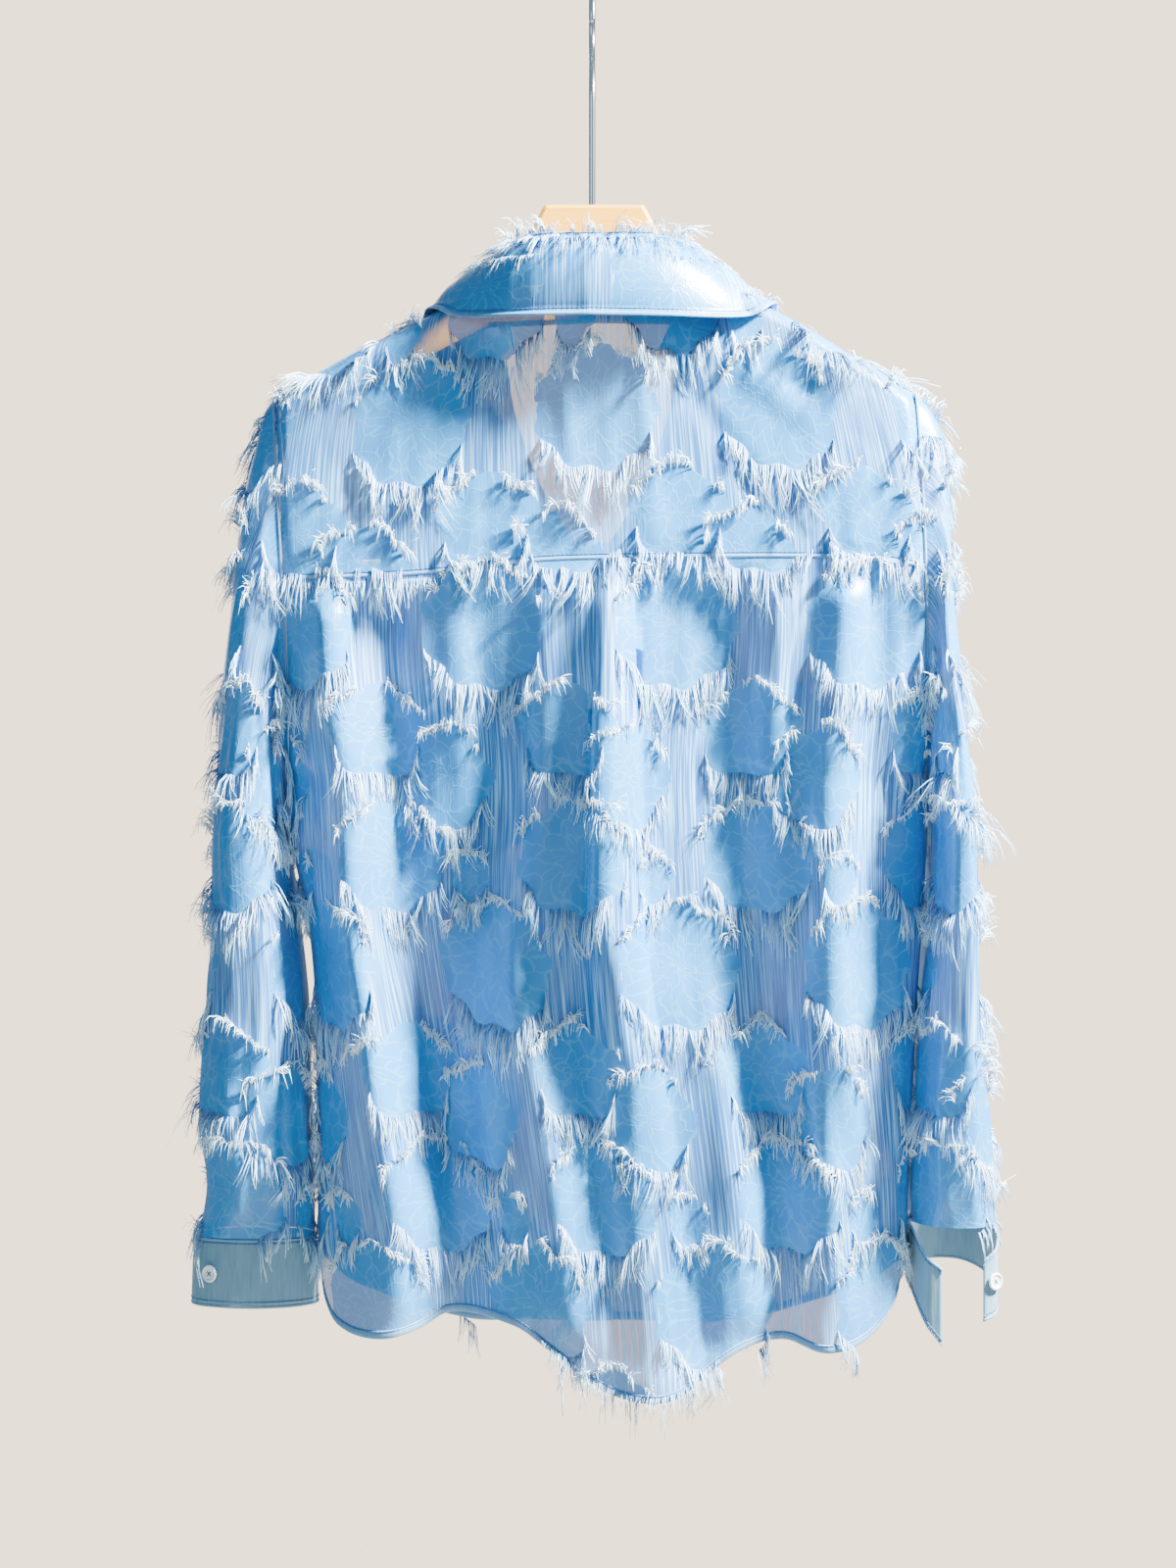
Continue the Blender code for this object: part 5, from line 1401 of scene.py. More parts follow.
# How far from a hem's edge its stitches run, up the cloth and out.
HEM_STITCHES = (-HEM + 0.0008, 0.0005)
yoke_rows_sewn = [along_row(yoke_panel, -1, -0.0022), along_row(yoke_panel, 0, 0.0030)]
stitched = {
    "yoke": stitches("stitches_yoke", yoke_rows_sewn),
    "back": stitches("stitches_back_hem", [along_row(back_panel_cut, -1, *HEM_STITCHES)]),
}
for name, panel in front_cuts.items():
    stitched[name] = stitches("stitches_" + name, [along_row(panel, -1, *HEM_STITCHES)])
placket_sides = [along_column(placket_panel, side, -0.0020, 0.0001) for side in (0, -1)]
stitched["placket"] = stitches("stitches_placket", placket_sides)
pocket_sides = [along_column(pocket_panel, side, -0.0018) for side in (0, -1)]
pocket_bottom = along_row(pocket_panel, -1, -0.0018)
stitched["pocket"] = stitches("stitches_pocket", [*pocket_sides, pocket_bottom])
stitched["leaf"] = stitches("stitches_collar", [along_row(leaf_panel, -1, -0.0050, 0.0001)])
for name, panel in cuff_panels.items():
    stitched[name] = stitches(
        "stitches_" + name,
        [along_row(panel, 0, 0.0030, 0.0001), along_row(panel, -1, -0.0040, 0.0001)],
    )

# %% [markdown]
# ## Cut threads
#
# The fringe is the flowers' own weft of bright polyester filament, cut behind the cloth and
# hanging from each flower's edge. Along a flower's lower edge the threads hang about 8 to 35 mm
# in small bunches; along its upper edge they are short tufts that curl. A real thread is a tenth
# of a millimetre thick and hundreds lie in each bunch, so each one here stands for a few and is
# about a millimetre thick at its root.

# %% The threads' finish
fringe_thread, thread_tree, thread_shader = finish_named(
    "bright polyester filament", "CFE5FA", 0.22, Specular_IOR_Level=0.9
)
strand_uv = add(thread_tree, "ShaderNodeUVMap", uv_map="strand").outputs[0]
strand_parts = add(thread_tree, "ShaderNodeSeparateXYZ", (strand_uv,)).outputs
# Painted shade and light: each thread runs from dark blue at its root, where it lies under the flower's
# edge, to pale at its tip, where it catches the light.
ends = {0: strand_parts[1], 6: colour("2584D2"), 7: colour("9FE3FF")}
root_shade_tip_light = add(thread_tree, MIX, ends, data_type="RGBA").outputs[2]
# Painted highlight: each thread is mixed towards near white by its own amount.
ends = {0: strand_parts[0], 6: root_shade_tip_light, 7: colour("E4F8FF")}
thread_with_painted_highlight = add(thread_tree, MIX, ends, data_type="RGBA").outputs[2]
thread_tree.links.new(thread_with_painted_highlight, thread_shader.inputs["Base Color"])

# %% A thread bent along its path
# Into how many lengths a thread is cut, and how thin its tip is beside its root.
THREAD_SEGMENTS, TIP_SHARE = 3, 0.38


def thread_shape():
    """One thread, upright: three sides and a taper, cut into short lengths."""
    bm = bmesh.new()
    bmesh.ops.create_cone(
        bm, cap_ends=True, segments=3, radius1=1.0, radius2=TIP_SHARE, depth=1.0
    )
    long_edges = [edge for edge in bm.edges if abs(edge.verts[0].co.z - edge.verts[1].co.z) > 0.5]
    bmesh.ops.subdivide_edges(bm, edges=long_edges, cuts=THREAD_SEGMENTS - 1, use_grid_fill=True)
    return bm


def threads(name, paths, thick, painted_highlight, replaced):
    """A fringe: one curve of four points for each thread, its thickness and its painted highlight."""
    bm = thread_shape()
    shape = np.array([vert.co for vert in bm.verts])
    t = (shape[:, 2] + 0.5)[None, :, None]
    p0, p1, p2, p3 = (paths[:, k][:, None] for k in range(4))
    s = 1 - t
    spine = p0 * s**3 + 3 * p1 * s * s * t + 3 * p2 * s * t * t + p3 * t**3
    tangent = unit(3 * (p1 - p0) * s * s + 6 * (p2 - p1) * s * t + 3 * (p3 - p2) * t * t)
    reference = unit(np.cross(paths[:, 3] - paths[:, 0], np.array([0.31, -0.9, 0.29])))[:, None]
    side = unit(np.cross(tangent, reference))
    other = np.cross(tangent, side)
    places = spine + (side * shape[None, :, 0:1] + other * shape[None, :, 1:2]) * thick[:, None, None]
    # The strand UV holds each thread's painted highlight and how far along the thread a point lies.
    values = np.stack(np.broadcast_arrays(painted_highlight[:, None], t[:, :, 0]), axis=2)
    made = strewn(name, bm, places, fringe_thread, values)
    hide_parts(*replaced)
    print(name, len(paths), "threads")
    return made


# %% Threads round the flowers of a panel
DOWN = np.array((0.0, 0.0, -1.0))
# Along a flower's edge, from one bunch or tuft to the next.
BUNCH_PITCH, TUFT_PITCH = 0.0056, 0.0058
# How long the threads are at a flower's sides, and how much longer they are below it.
SHORTEST, LONGER_BELOW = 0.0045, 0.0215
# How far beyond a panel's edge a flower's middle may lie and still reach it.
MARGIN = 0.05
# The radii at the root that threads are drawn from.
HANGING_RADII = (0.00028, 0.00036, 0.00046, 0.00058)
TUFT_RADII = (0.00032, 0.00040, 0.00040, 0.00058)


def falling(out):
    """Which way a thread falls: straight down, or down along cloth that faces upwards."""
    return unit(DOWN - out * min(0.0, DOWN @ out))


def fringe_paths(panel, seed, stand, full):
    """Thread paths for every flower whose edge lies on a panel.

    Stand is how far the threads stand off the cloth and full is how many there are, 1 for usual.
    """
    rng = np.random.default_rng(seed)
    panel.index()
    paths, thick, painted_highlight = [], [], []

    def hang(root, out, bunch, long, lean, sway, curl):
        """One thread hanging from its root towards its bunch's tip."""
        fall = falling(out)
        side = unit(np.cross(out, DOWN))
        gather = (bunch - root) * rng.uniform(0.1, 0.6)
        gather = gather - DOWN * (gather @ DOWN)
        tip = root + fall * long + gather + out * lean + side * long * (sway + rng.normal(0, 0.08))
        first = root + out * (0.0012 + lean * 0.7) + fall * long * 0.22
        second = (
            root
            + fall * long * 0.68
            + gather * 0.8
            + out * (0.0008 + lean * 0.85)
            + side * (curl + sway * long * 0.35)
        )
        paths.append((root, first, second, tip))
        thick.append(rng.choice(HANGING_RADII))
        # How much painted highlight a hanging thread gets: mostly little.
        painted_highlight.append(rng.beta(1.2, 2.2))

    def tuft(root, out, long, way):
        """One short thread that stands out of the upper edge and curls over."""
        side = unit(np.cross(out, DOWN)) * (way + rng.normal(0, 0.25)) * long * 0.45
        off = out * (0.0010 + long * rng.uniform(0.25, 0.55) * stand)
        tip = root + side * 1.4 + off * rng.uniform(0.8, 1.4)
        tip = tip + falling(out) * long * rng.uniform(-0.75, 0.65)
        first = root + off * 0.5 - DOWN * long * 0.5
        second = root + off - DOWN * long * 0.55 + side
        paths.append((root, first, second, tip))
        thick.append(rng.choice(TUFT_RADII))
        # Upper tufts get more painted highlight, as if lit from above.
        painted_highlight.append(rng.uniform(0.35, 1.0))

    def lower_edge(motif, x, y, girth):
        """Bunches of long threads below a flower."""
        bunches = max(5, round(girth / BUNCH_PITCH))
        for k in range(bunches):
            centre = math.pi * (0.13 + 0.74 * (k + 0.5) / bunches) + rng.normal(0, 0.02)
            if rng.random() < 0.08:
                continue
            ex, ey = outline(motif, centre)
            found = panel.at(x + ex, y + ey)
            if found is None:
                continue
            bunch = found[0]
            long_here = SHORTEST + LONGER_BELOW * math.sin(centre) ** 0.7
            reach = long_here * rng.uniform(0.7, 1.3) * (0.6 + 0.4 * motif[2] / 0.035)
            lean = rng.uniform(0.0012, 0.0048) * stand
            if rng.random() < 0.12:
                lean *= 2.2
            sway = rng.normal(0, 0.20)
            for _ in range(round(rng.integers(6, 9) * full)):
                angle = centre + rng.uniform(-0.5, 0.5) * math.pi * 0.95 / bunches
                ex, ey = outline(motif, angle)
                found = panel.at(x + ex, y + ey - 0.0008)
                if found:
                    long = reach * rng.uniform(0.62, 1.12)
                    off = lean * rng.uniform(0.6, 1.5)
                    hang(*found, bunch, long, off, sway, rng.normal(0, 0.0010))

    def upper_edge(motif, x, y, girth):
        """Clumps of short tufts above a flower."""
        clumps = round(girth / TUFT_PITCH)
        patch = rng.uniform(0, 6.28)
        for k in range(clumps):
            centre = -math.pi * (0.12 + 0.76 * (k + rng.uniform(0.1, 0.9)) / clumps)
            if math.sin(3 * centre + patch) + rng.normal(0, 0.5) < -0.55:
                continue
            tall = rng.uniform(0.0055, 0.0135)
            way = rng.normal(0, 0.6)
            for _ in range(round(rng.integers(7, 12) * full)):
                ex, ey = outline(motif, centre + rng.normal(0, 0.26) * math.pi / clumps)
                found = panel.at(x + ex, y + ey)
                if found:
                    tuft(*found, tall * rng.uniform(0.7, 1.15), way)

    a0, a1 = panel.across.min() - MARGIN, panel.across.max() + MARGIN
    d0, d1 = panel.down.min() - MARGIN, panel.down.max() + MARGIN
    for column in range(math.floor(a0 / REPEAT[0]) - 1, math.ceil(a1 / REPEAT[0]) + 1):
        for row in range(math.floor(d0 / REPEAT[1]) - 1, math.ceil(d1 / REPEAT[1]) + 1):
            for motif in MOTIFS:
                x, y = motif[0] + column * REPEAT[0], motif[1] + row * REPEAT[1]
                if a0 < x < a1 and d0 < y < d1:
                    girth = math.pi * (motif[2] + motif[3]) / 2
                    lower_edge(motif, x, y, girth)
                    upper_edge(motif, x, y, girth)
    return paths, thick, painted_highlight


def fringe_of(name, panel, seed, replaced, extra=(), stand=1.0, full=1.0):
    """The whole fringe of one panel, with any further rows."""
    paths, thick, painted_highlight = fringe_paths(panel, seed, stand, full)
    for row in extra:
        for whole, more in zip((paths, thick, painted_highlight), row):
            whole.extend(more)
    return threads(name, np.array(paths), np.array(thick), np.array(painted_highlight), replaced)


def nodes_from(start):
    """The solids whose names start so."""
    return sorted(name for name in nodes if name.startswith(start))


# %% Fringe along an edge
# How far apart the bunches along an edge are.
EDGE_BUNCH = 0.006


def edge_fringe(edge, seed, spacing, long_from, long_to, lean, part, on_slope=False):
    """Threads that hang along a hem or a fold, which is a line and its outward directions."""
    rng = np.random.default_rng(seed)
    line, outward = edge[:2]
    run = run_along(line)
    paths, thick, painted_highlight = [], [], []
    start, end = run[-1] * part[0], run[-1] * part[1]
    for spot in np.arange(start, end, spacing):
        bunch = round(spot / EDGE_BUNCH) * EDGE_BUNCH
        root_at = spot + rng.normal(0, spacing)
        root, out = read_off(root_at, run, line), read_off(root_at, run, outward)
        tip_root = read_off(bunch * 0.5 + root_at * 0.5, run, line)
        wave = 0.5 + 0.5 * math.sin(bunch * 310 + seed)
        ends = min(1.0, (spot - start) / 0.02 + 0.25, (end - spot) / 0.02 + 0.25)
        long = (long_from + (long_to - long_from) * wave) * rng.uniform(0.6, 1.1) * ends
        off = rng.uniform(0.3, 1.4) * lean
        side = unit(np.cross(out, DOWN)) * rng.normal(0, long * 0.08)
        fall = falling(out) if on_slope else DOWN
        first = root + out * (0.0010 + off * 0.8) + fall * long * 0.2
        second = tip_root + fall * long * 0.65 + out * off + side
        tip = tip_root + fall * long + out * off * 0.9 + side * 1.5
        paths.append((root, first, second, tip))
        thick.append(rng.choice((0.00022, 0.00030, 0.00046)))
        # How much painted highlight a thread along an edge gets.
        painted_highlight.append(rng.beta(1.2, 2.0))
    return paths, thick, painted_highlight


# %% Fringe the panels
hem_edge = along_row(back_panel_cut, -1, -0.004, 0.0008)
hem_threads = edge_fringe(hem_edge, 7, 0.0009, 0.010, 0.026, 0.0022, (0.40, 0.66))
seam_edge = along_row(back_panel_cut, 0, 0.003, 0.0004)
seam_threads = edge_fringe(seam_edge, 8, 0.0008, 0.012, 0.022, 0.0022, (0.03, 0.24))
back_nodes = nodes_from("fringe_back") + ["fringe_hem"]
back_edges = [hem_threads, seam_threads]
fringe_pieces = {
    "yoke": fringe_of("fringe_on_yoke", yoke_panel, 101, nodes_from("fringe_yoke")),
    "back": fringe_of("fringe_on_back", back_panel_cut, 102, back_nodes, back_edges, stand=0.75),
}
for seed, (name, panel) in enumerate(sleeve_cuts.items(), 103):
    replaced = nodes_from("fringe_" + name)
    fringe_pieces[name] = fringe_of(
        "fringe_on_" + name, panel, seed, replaced, stand=1.6, full=0.85
    )
for seed, name, rows in ((105, "front_left", (1, 3, 5)), (106, "front_right", (2, 4))):
    replaced = [f"fringe_front_{row}" for row in rows]
    fringe_pieces[name] = fringe_of(
        "fringe_on_" + name, front_cuts[name], seed, replaced, stand=0.5, full=0.75
    )


# %% Fringe the collar
def standing_fringe(edge, seed, pitch, low, high, part):
    """Clumps of threads that stand up out of a fold and curl over."""
    rng = np.random.default_rng(seed)
    line, outward = edge[:2]
    run = run_along(line)
    paths, thick, painted_highlight = [], [], []
    for spot in np.arange(run[-1] * part[0], run[-1] * part[1], pitch):
        if rng.random() < 0.22:
            continue
        tall, lean = rng.uniform(low, high), rng.normal(0, 0.5)
        for _ in range(rng.integers(8, 14)):
            where = spot + rng.normal(0, pitch * 0.3)
            root, away = read_off(where, run, line), read_off(where, run, outward)
            out = unit(np.array((away[0] * 0.5, -1.0, 0.0)))
            side = unit(np.cross(out, DOWN)) * (lean + rng.normal(0, 0.3))
            rise = tall * rng.uniform(0.5, 1.1)
            off = out * rise * rng.uniform(0.3, 0.8)
            tip = root - DOWN * rise * rng.uniform(0.1, 1.0) + off * 1.4 + side * rise
            first = root - DOWN * rise * 0.5
            second = root - DOWN * rise + off * 0.6 + side * rise * 0.5
            paths.append((root, first, second, tip))
            thick.append(rng.choice((0.00028, 0.00036, 0.00050)))
            # Standing threads on the collar's fold get the most painted highlight.
            painted_highlight.append(rng.uniform(0.5, 1.0))
    return paths, thick, painted_highlight


fold_line, roll_line, low_line = (along_row(leaf_panel, row, 0.0, 0.0004) for row in (6, 9, 18))
collar_rows = (
    standing_fringe(fold_line, 10, 0.0048, 0.006, 0.014, (0.06, 0.94)),
    edge_fringe(roll_line, 9, 0.0006, 0.006, 0.024, 0.0030, (0.08, 0.90), on_slope=True),
    edge_fringe(low_line, 11, 0.0007, 0.004, 0.016, 0.0018, (0.06, 0.40), on_slope=True),
    edge_fringe(low_line, 12, 0.0012, 0.004, 0.015, 0.0018, (0.62, 0.94), on_slope=True),
)
collar_fringe = [np.array(sum(lists, [])) for lists in zip(*collar_rows)]
fringe_pieces["leaf"] = threads("fringe_on_collar", *collar_fringe, ["fringe_collar"])

# %% [markdown]
# ## Buttons
#
# Shirt buttons of cast polyester with a pearly look, 11.4 mm across, with a raised rim and four
# holes. The rim and the dish are one turned profile, and the holes are drilled with a Boolean.

# %% Turn one button
button_resin = finish_named(
    "cast polyester button, pearl white", "E9ECEF", 0.22, Coat_Weight=0.4, Coat_Roughness=0.08
)[0]
BUTTON_RADIUS, BUTTON_THICK = 0.0057, 0.0024
# A hole's radius and how far its middle is from the button's, across and along.
HOLE, HOLE_SIDE = 0.00058, 0.00115
# The sewing thread's radius over a button.
SEWN = 0.00034


def turned_button():
    """A button lying on its back, with four holes."""
    rim, dish = BUTTON_RADIUS * 0.72, BUTTON_THICK * 0.70
    profile = (
        (0.0, dish),
        (rim * 0.86, dish),
        (rim, BUTTON_THICK * 0.93),
        (BUTTON_RADIUS * 0.84, BUTTON_THICK),
        (BUTTON_RADIUS * 0.94, BUTTON_THICK * 0.92),
        (BUTTON_RADIUS, BUTTON_THICK * 0.6),
        (BUTTON_RADIUS * 0.95, BUTTON_THICK * 0.2),
        (BUTTON_RADIUS * 0.8, 0.0),
        (0.0, 0.0),
    )
    bm = bmesh.new()
    points = [bm.verts.new((radius, 0, height)) for radius, height in profile]
    for start, end in zip(points, points[1:]):
        bm.edges.new((start, end))
    whole = bm.verts[:] + bm.edges[:]
    once_round = {"cent": (0, 0, 0), "axis": (0, 0, 1), "angle": 2 * math.pi}
    bmesh.ops.spin(bm, geom=whole, **once_round, steps=36, use_merge=True)
    bmesh.ops.remove_doubles(bm, verts=bm.verts, dist=0.00001)
    bmesh.ops.recalc_face_normals(bm, faces=bm.faces)
    mesh = bpy.data.meshes.new("turned_button")
    bm.to_mesh(mesh)
    bm.free()
    button = bpy.data.objects.new("turned_button", mesh)
    bpy.context.scene.collection.objects.link(button)
    drill = bmesh.new()
    for x in (-HOLE_SIDE, HOLE_SIDE):
        for y in (-HOLE_SIDE, HOLE_SIDE):
            hole = bmesh.ops.create_cone(
                drill, cap_ends=True, segments=14, radius1=HOLE, radius2=HOLE, depth=0.008
            )
            bmesh.ops.translate(drill, verts=hole["verts"], vec=(x, y, 0))
    bits = bpy.data.meshes.new("drill_bits")
    drill.to_mesh(bits)
    drill.free()
    cutter = bpy.data.objects.new("drill_bits", bits)
    bpy.context.scene.collection.objects.link(cutter)
    holes = button.modifiers.new("holes", "BOOLEAN")
    holes.object = cutter
    ready = button.evaluated_get(bpy.context.evaluated_depsgraph_get())
    drilled = bpy.data.meshes.new_from_object(ready)
    for tool in (button, cutter):
        bpy.data.objects.remove(tool)
    return drilled


drilled_button = turned_button()
print("button faces:", len(drilled_button.polygons))


# %% Sew the buttons on
def button_seat(node, outward):
    """Where a solid button sits, and how it is turned, from its own points."""
    mesh = nodes[node].data
    points = np.empty(len(mesh.vertices) * 3)
    mesh.vertices.foreach_get("co", points)
    points = points.reshape(-1, 3)
    low, high = points.min(axis=0), points.max(axis=0)
    middle = (low + high) / 2
    axis = np.linalg.svd(points - points.mean(axis=0), full_matrices=False)[2][2]
    if axis @ np.array(outward) < 0:
        axis = -axis
    reach = (points - middle) @ axis
    return Vector(middle + axis * reach.min()), Vector(axis)


def sewn_button(node, outward):
    """A button with its crossing threads."""
    seat, axis = button_seat(node, outward)
    bm = bmesh.new()
    bm.from_mesh(drilled_button)
    for slant in (-1, 1):
        bar = bmesh.ops.create_cone(
            bm, cap_ends=True, segments=6, radius1=SEWN, radius2=SEWN, depth=0.0034
        )
        turn = Vector((1, slant, 0)).to_track_quat("Z", "Y").to_matrix().to_4x4()
        bmesh.ops.transform(bm, matrix=turn, verts=bar["verts"])
        bmesh.ops.translate(bm, verts=bar["verts"], vec=(0, 0, BUTTON_THICK * 0.70 + 0.0002))
        for vert in bar["verts"]:
            for face in vert.link_faces:
                face.material_index = 1
    pose = axis.to_track_quat("Z", "Y").to_matrix().to_4x4()
    pose.translation = seat
    bmesh.ops.transform(bm, matrix=pose, verts=bm.verts)
    made = put(node + "_sewn", bm, button_resin)
    made.data.materials.append(sewing_thread)
    made.data.set_sharp_from_angle(angle=math.radians(32))
    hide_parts(node)
    return made


button_faces = {name: (0, 1, 0) for name in nodes if name.startswith("button")}
button_faces["button_cuff_left"] = (-0.5, -0.86, 0)
button_faces["button_cuff_right"] = (0.55, -0.83, 0)
sewn_buttons = [sewn_button(name, outward) for name, outward in button_faces.items()]
print("buttons:", len(sewn_buttons))

# %% [markdown]
# ## The wooden hanger
#
# The board is cut from a pale hardwood such as lotus or beech, sanded and clear lacquered. The
# solid has the right shape and eased edges, so it stays and only gets its finish. The grain
# runs along the arms, with lines about 3 mm apart and fine dark pores of 0.4 mm.

# %% The hanger's finish
hanger_wood, wood_tree, wood_shader = finish_named(
    "lacquered beech", "D99A28", 0.38, Coat_Weight=0.35, Coat_Roughness=0.2
)
spot = add(wood_tree, "ShaderNodeTexCoord").outputs["Object"]
along_grain = add(wood_tree, VECTOR_MATH, (spot, (9, 60, 330)), operation="MULTIPLY").outputs[0]
lines = {0: along_grain, "Scale": 1.0, "Detail": 3.0, "Distortion": 0.6}
bands = add(wood_tree, NOISE, lines).outputs[0]
pores = add(wood_tree, VECTOR_MATH, (spot, (60, 900, 2300)), operation="MULTIPLY").outputs[0]
pore = add(wood_tree, NOISE, {0: pores, "Scale": 1.0, "Detail": 2.0}).outputs[0]
ends = {0: bands, 6: colour("EDB036"), 7: colour("D3921F")}
tone = add(wood_tree, MIX, ends, data_type="RGBA").outputs[2]
fleck = add(wood_tree, MAP_RANGE, (pore, 0.62, 0.72, 0.0, 0.5)).outputs[0]
ends = {0: fleck, 6: tone, 7: colour("A87B49")}
tone = add(wood_tree, MIX, ends, data_type="RGBA").outputs[2]
wood_tree.links.new(tone, wood_shader.inputs["Base Color"])
relief = {"Strength": 0.15, "Distance": 0.0003, "Height": pore}
wood_tree.links.new(add(wood_tree, "ShaderNodeBump", relief).outputs[0], wood_shader.inputs["Normal"])
for place in nodes["hanger_board"].material_slots:
    place.material = hanger_wood

# %% [markdown]
# ## The hook
#
# A hanger's hook is bent from round steel wire and plated with bright nickel or chrome. It is a
# curve with a round section, made a mesh so that it can be finished as one piece, with its end
# rounded by a small ball.

# %% Bend the hook
HOOK_WIRE = 0.0023
HOOK_INSIDE = 0.0205
HOOK_SET_IN = 0.018
BLOCK_TOP = -0.1404


def shares(count):
    """Even shares from 0 to 1."""
    return [i / count for i in range(count + 1)]


def hook_route():
    """The hook's centreline: up from the block, out behind the rail, over it and down."""
    radius = HOOK_INSIDE + HOOK_WIRE
    centre = -HOOK_INSIDE
    route = [Vector((0, 0, BLOCK_TOP - HOOK_SET_IN + 0.0004))]
    route += [Vector((0, 0, z)) for z in (BLOCK_TOP, -0.110, -0.080, -0.066)]
    for share in shares(4)[1:-1]:
        start, corner = Vector((0, 0, -0.066)), Vector((0, 0.0010, -0.0520))
        end = Vector((0, radius * math.cos(-0.70), centre + radius * math.sin(-0.70)))
        route.append(start.lerp(corner, share).lerp(corner.lerp(end, share), share))
    for step in range(15):
        angle = -0.70 + (math.pi + 0.80) * step / 14
        route.append(Vector((0, radius * math.cos(angle), centre + radius * math.sin(angle))))
    return route


hook_steel = finish_named("nickel-plated steel wire", "C9CBCE", 0.16, Metallic=1.0)[0]


def smooth_route(route, pieces):
    """More points on a soft curve through a route."""
    path = []
    for i in range(len(route) - 1):
        before, after = route[max(i - 1, 0)], route[min(i + 2, len(route) - 1)]
        a, b = route[i], route[i + 1]
        for k in range(pieces):
            t = k / pieces
            t2, t3 = t * t, t * t * t
            straight = 2 * a + (b - before) * t
            bowed = (2 * before - 5 * a + 4 * b - after) * t2
            path.append(0.5 * (straight + bowed + (3 * a - before - 3 * b + after) * t3))
    return path + [route[-1]]


wire = bpy.data.curves.new("hook_wire", "CURVE")
wire.dimensions = "3D"
wire.bevel_depth = HOOK_WIRE
wire.bevel_resolution = 6
wire.use_fill_caps = True
spline = wire.splines.new("POLY")
bend = hook_route()[:4] + smooth_route(hook_route()[3:], 4)[1:]
spline.points.add(len(bend) - 1)
for point, place in zip(spline.points, bend):
    point.co = (*place, 1.0)
bent = bpy.data.objects.new("hook_wire", wire)
bpy.context.scene.collection.objects.link(bent)
ready_wire = bent.evaluated_get(bpy.context.evaluated_depsgraph_get())
wire_mesh = bpy.data.meshes.new_from_object(ready_wire)
bpy.data.objects.remove(bent)
hook_bm = bmesh.new()
hook_bm.from_mesh(wire_mesh)
bmesh.ops.remove_doubles(hook_bm, verts=hook_bm.verts, dist=0.00001)
ball = bmesh.ops.create_uvsphere(hook_bm, u_segments=16, v_segments=10, radius=HOOK_WIRE * 1.02)
bmesh.ops.translate(hook_bm, verts=ball["verts"], vec=bend[-1])
hook_piece = put("hook_bent_wire", hook_bm, hook_steel)
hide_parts("hanger_hook")

# %% [markdown]
# ## The cut of every sheet
#
# Each panel was measured above, so its flat width, length and area are stated from those
# measures.

def declare(sheet, panel):
    """Say how large a sheet is when flat."""
    wide, long = panel.flat_size()
    area = min(panel.flat_area(), wide * long)
    print(f"{sheet.name}: cut {wide * 1000:.0f} x {long * 1000:.0f} mm, {area:.3f} square metres")


declare(yoke_cloth, yoke_panel)
declare(back_cloth, back_panel_cut)
for name in ("front_left", "front_right"):
    declare(front_cloths[name], front_cuts[name])
for name in ("sleeve_left", "sleeve_right"):
    declare(sleeve_cloths[name], sleeve_cuts[name])
declare(placket_cloth, placket_panel)
declare(pocket_cloth, pocket_panel)
declare(leaf_cloth, leaf_panel)
declare(stand_cloth, stand_panel)
for name, panel in cuff_panels.items():
    declare(cuff_cloths[name], panel)

# %% [markdown]
# ## Floor, backdrop and light
#
# A plain pale floor lies below, and a warm pale backdrop is there for the camera only. The key
# is a soft light 0.3 m wide from the right and above. It rakes across the back, so the pleat
# throws its shadow to the left. A weak fill stands behind the camera, on the left, and a third
# light shines on the front of the shirt and glows a little through the cloth.

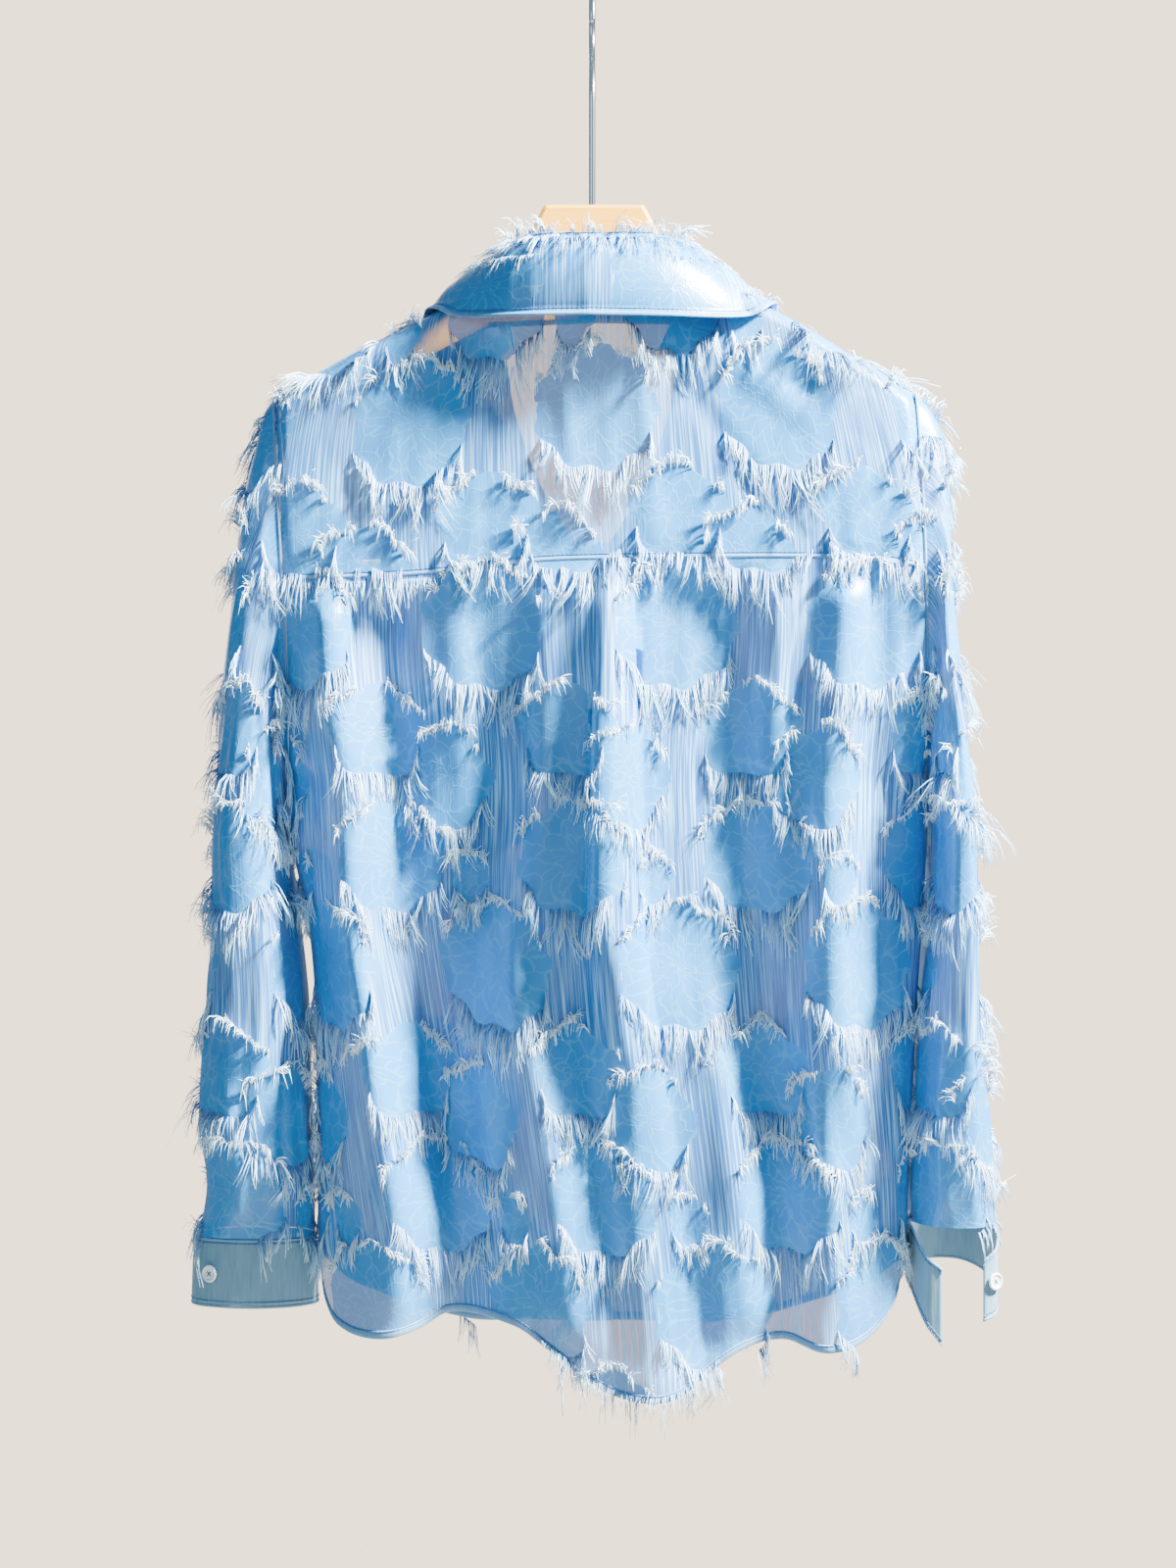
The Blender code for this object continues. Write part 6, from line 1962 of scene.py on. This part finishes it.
# %% The stage
def board(name, corner_low, corner_high, finish):
    """A box of the stage, from one corner to the other."""
    bm = bmesh.new()
    bmesh.ops.create_cube(bm, size=1.0)
    low, high = Vector(corner_low), Vector(corner_high)
    bmesh.ops.scale(bm, vec=high - low, verts=bm.verts)
    bmesh.ops.translate(bm, vec=(low + high) / 2, verts=bm.verts)
    mesh = bpy.data.meshes.new(name)
    bm.to_mesh(mesh)
    bm.free()
    mesh.materials.append(finish)
    made = bpy.data.objects.new(name, mesh)
    bpy.context.scene.collection.objects.link(made)


floor_paint = finish_named("matt floor, pale", "8E8A85", 0.85)[0]
board("floor", (-1.1, -1.1, -1.52), (1.1, 1.1, -1.50), floor_paint)

world = bpy.data.worlds.new("soft studio")
bpy.context.scene.world = world
world.use_nodes = True
sky = world.node_tree
glow = sky.nodes["Background"]
glow.inputs[0].default_value = colour("B4DAF2")
glow.inputs[1].default_value = 0.62
seen = add(sky, "ShaderNodeBackground", {0: colour("EED7C0"), 1: 3.6}).outputs[0]
straight = add(sky, "ShaderNodeLightPath").outputs["Is Camera Ray"]
backdrop = add(sky, "ShaderNodeMixShader", {0: straight, 1: glow.outputs[0], 2: seen}).outputs[0]
sky.links.new(backdrop, sky.nodes["World Output"].inputs[0])


def soft_light(name, place, aim, size, power, tint):
    """A round soft light, its width in metres and its power in watts."""
    light = bpy.data.lights.new(name, "AREA")
    light.shape = "DISK"
    light.size = size
    light.energy = power
    light.color = colour(tint)[:3]
    made = bpy.data.objects.new(name, light)
    made.location = place
    made.rotation_euler = (Vector(aim) - Vector(place)).to_track_quat("-Z", "Y").to_euler()
    bpy.context.scene.collection.objects.link(made)


middle = (0.0, 0.0, -0.55)
soft_light("key", (1.45, -0.48, 0.86), middle, 0.30, 1000, "FFFDF8")
soft_light("fill", (-1.2, -2.4, 0.2), middle, 1.6, 12, "DCEBFF")
soft_light("front light", (-1.1, 2.3, 0.3), middle, 1.6, 34, "FFF4E8")

# %% [markdown]
# ## The camera
#
# The camera stands level with the middle of the shirt, 1.83 m away, square to its back.

# %% Set up the camera and finish
lens = bpy.data.cameras.new("camera")
lens.lens = 63.2
lens.sensor_width = 36
camera = bpy.data.objects.new("camera", lens)
camera.location = (-0.0026, -1.83, -0.525)
camera.rotation_euler = (math.pi / 2, 0, 0)
bpy.context.scene.collection.objects.link(camera)
bpy.context.scene.camera = camera
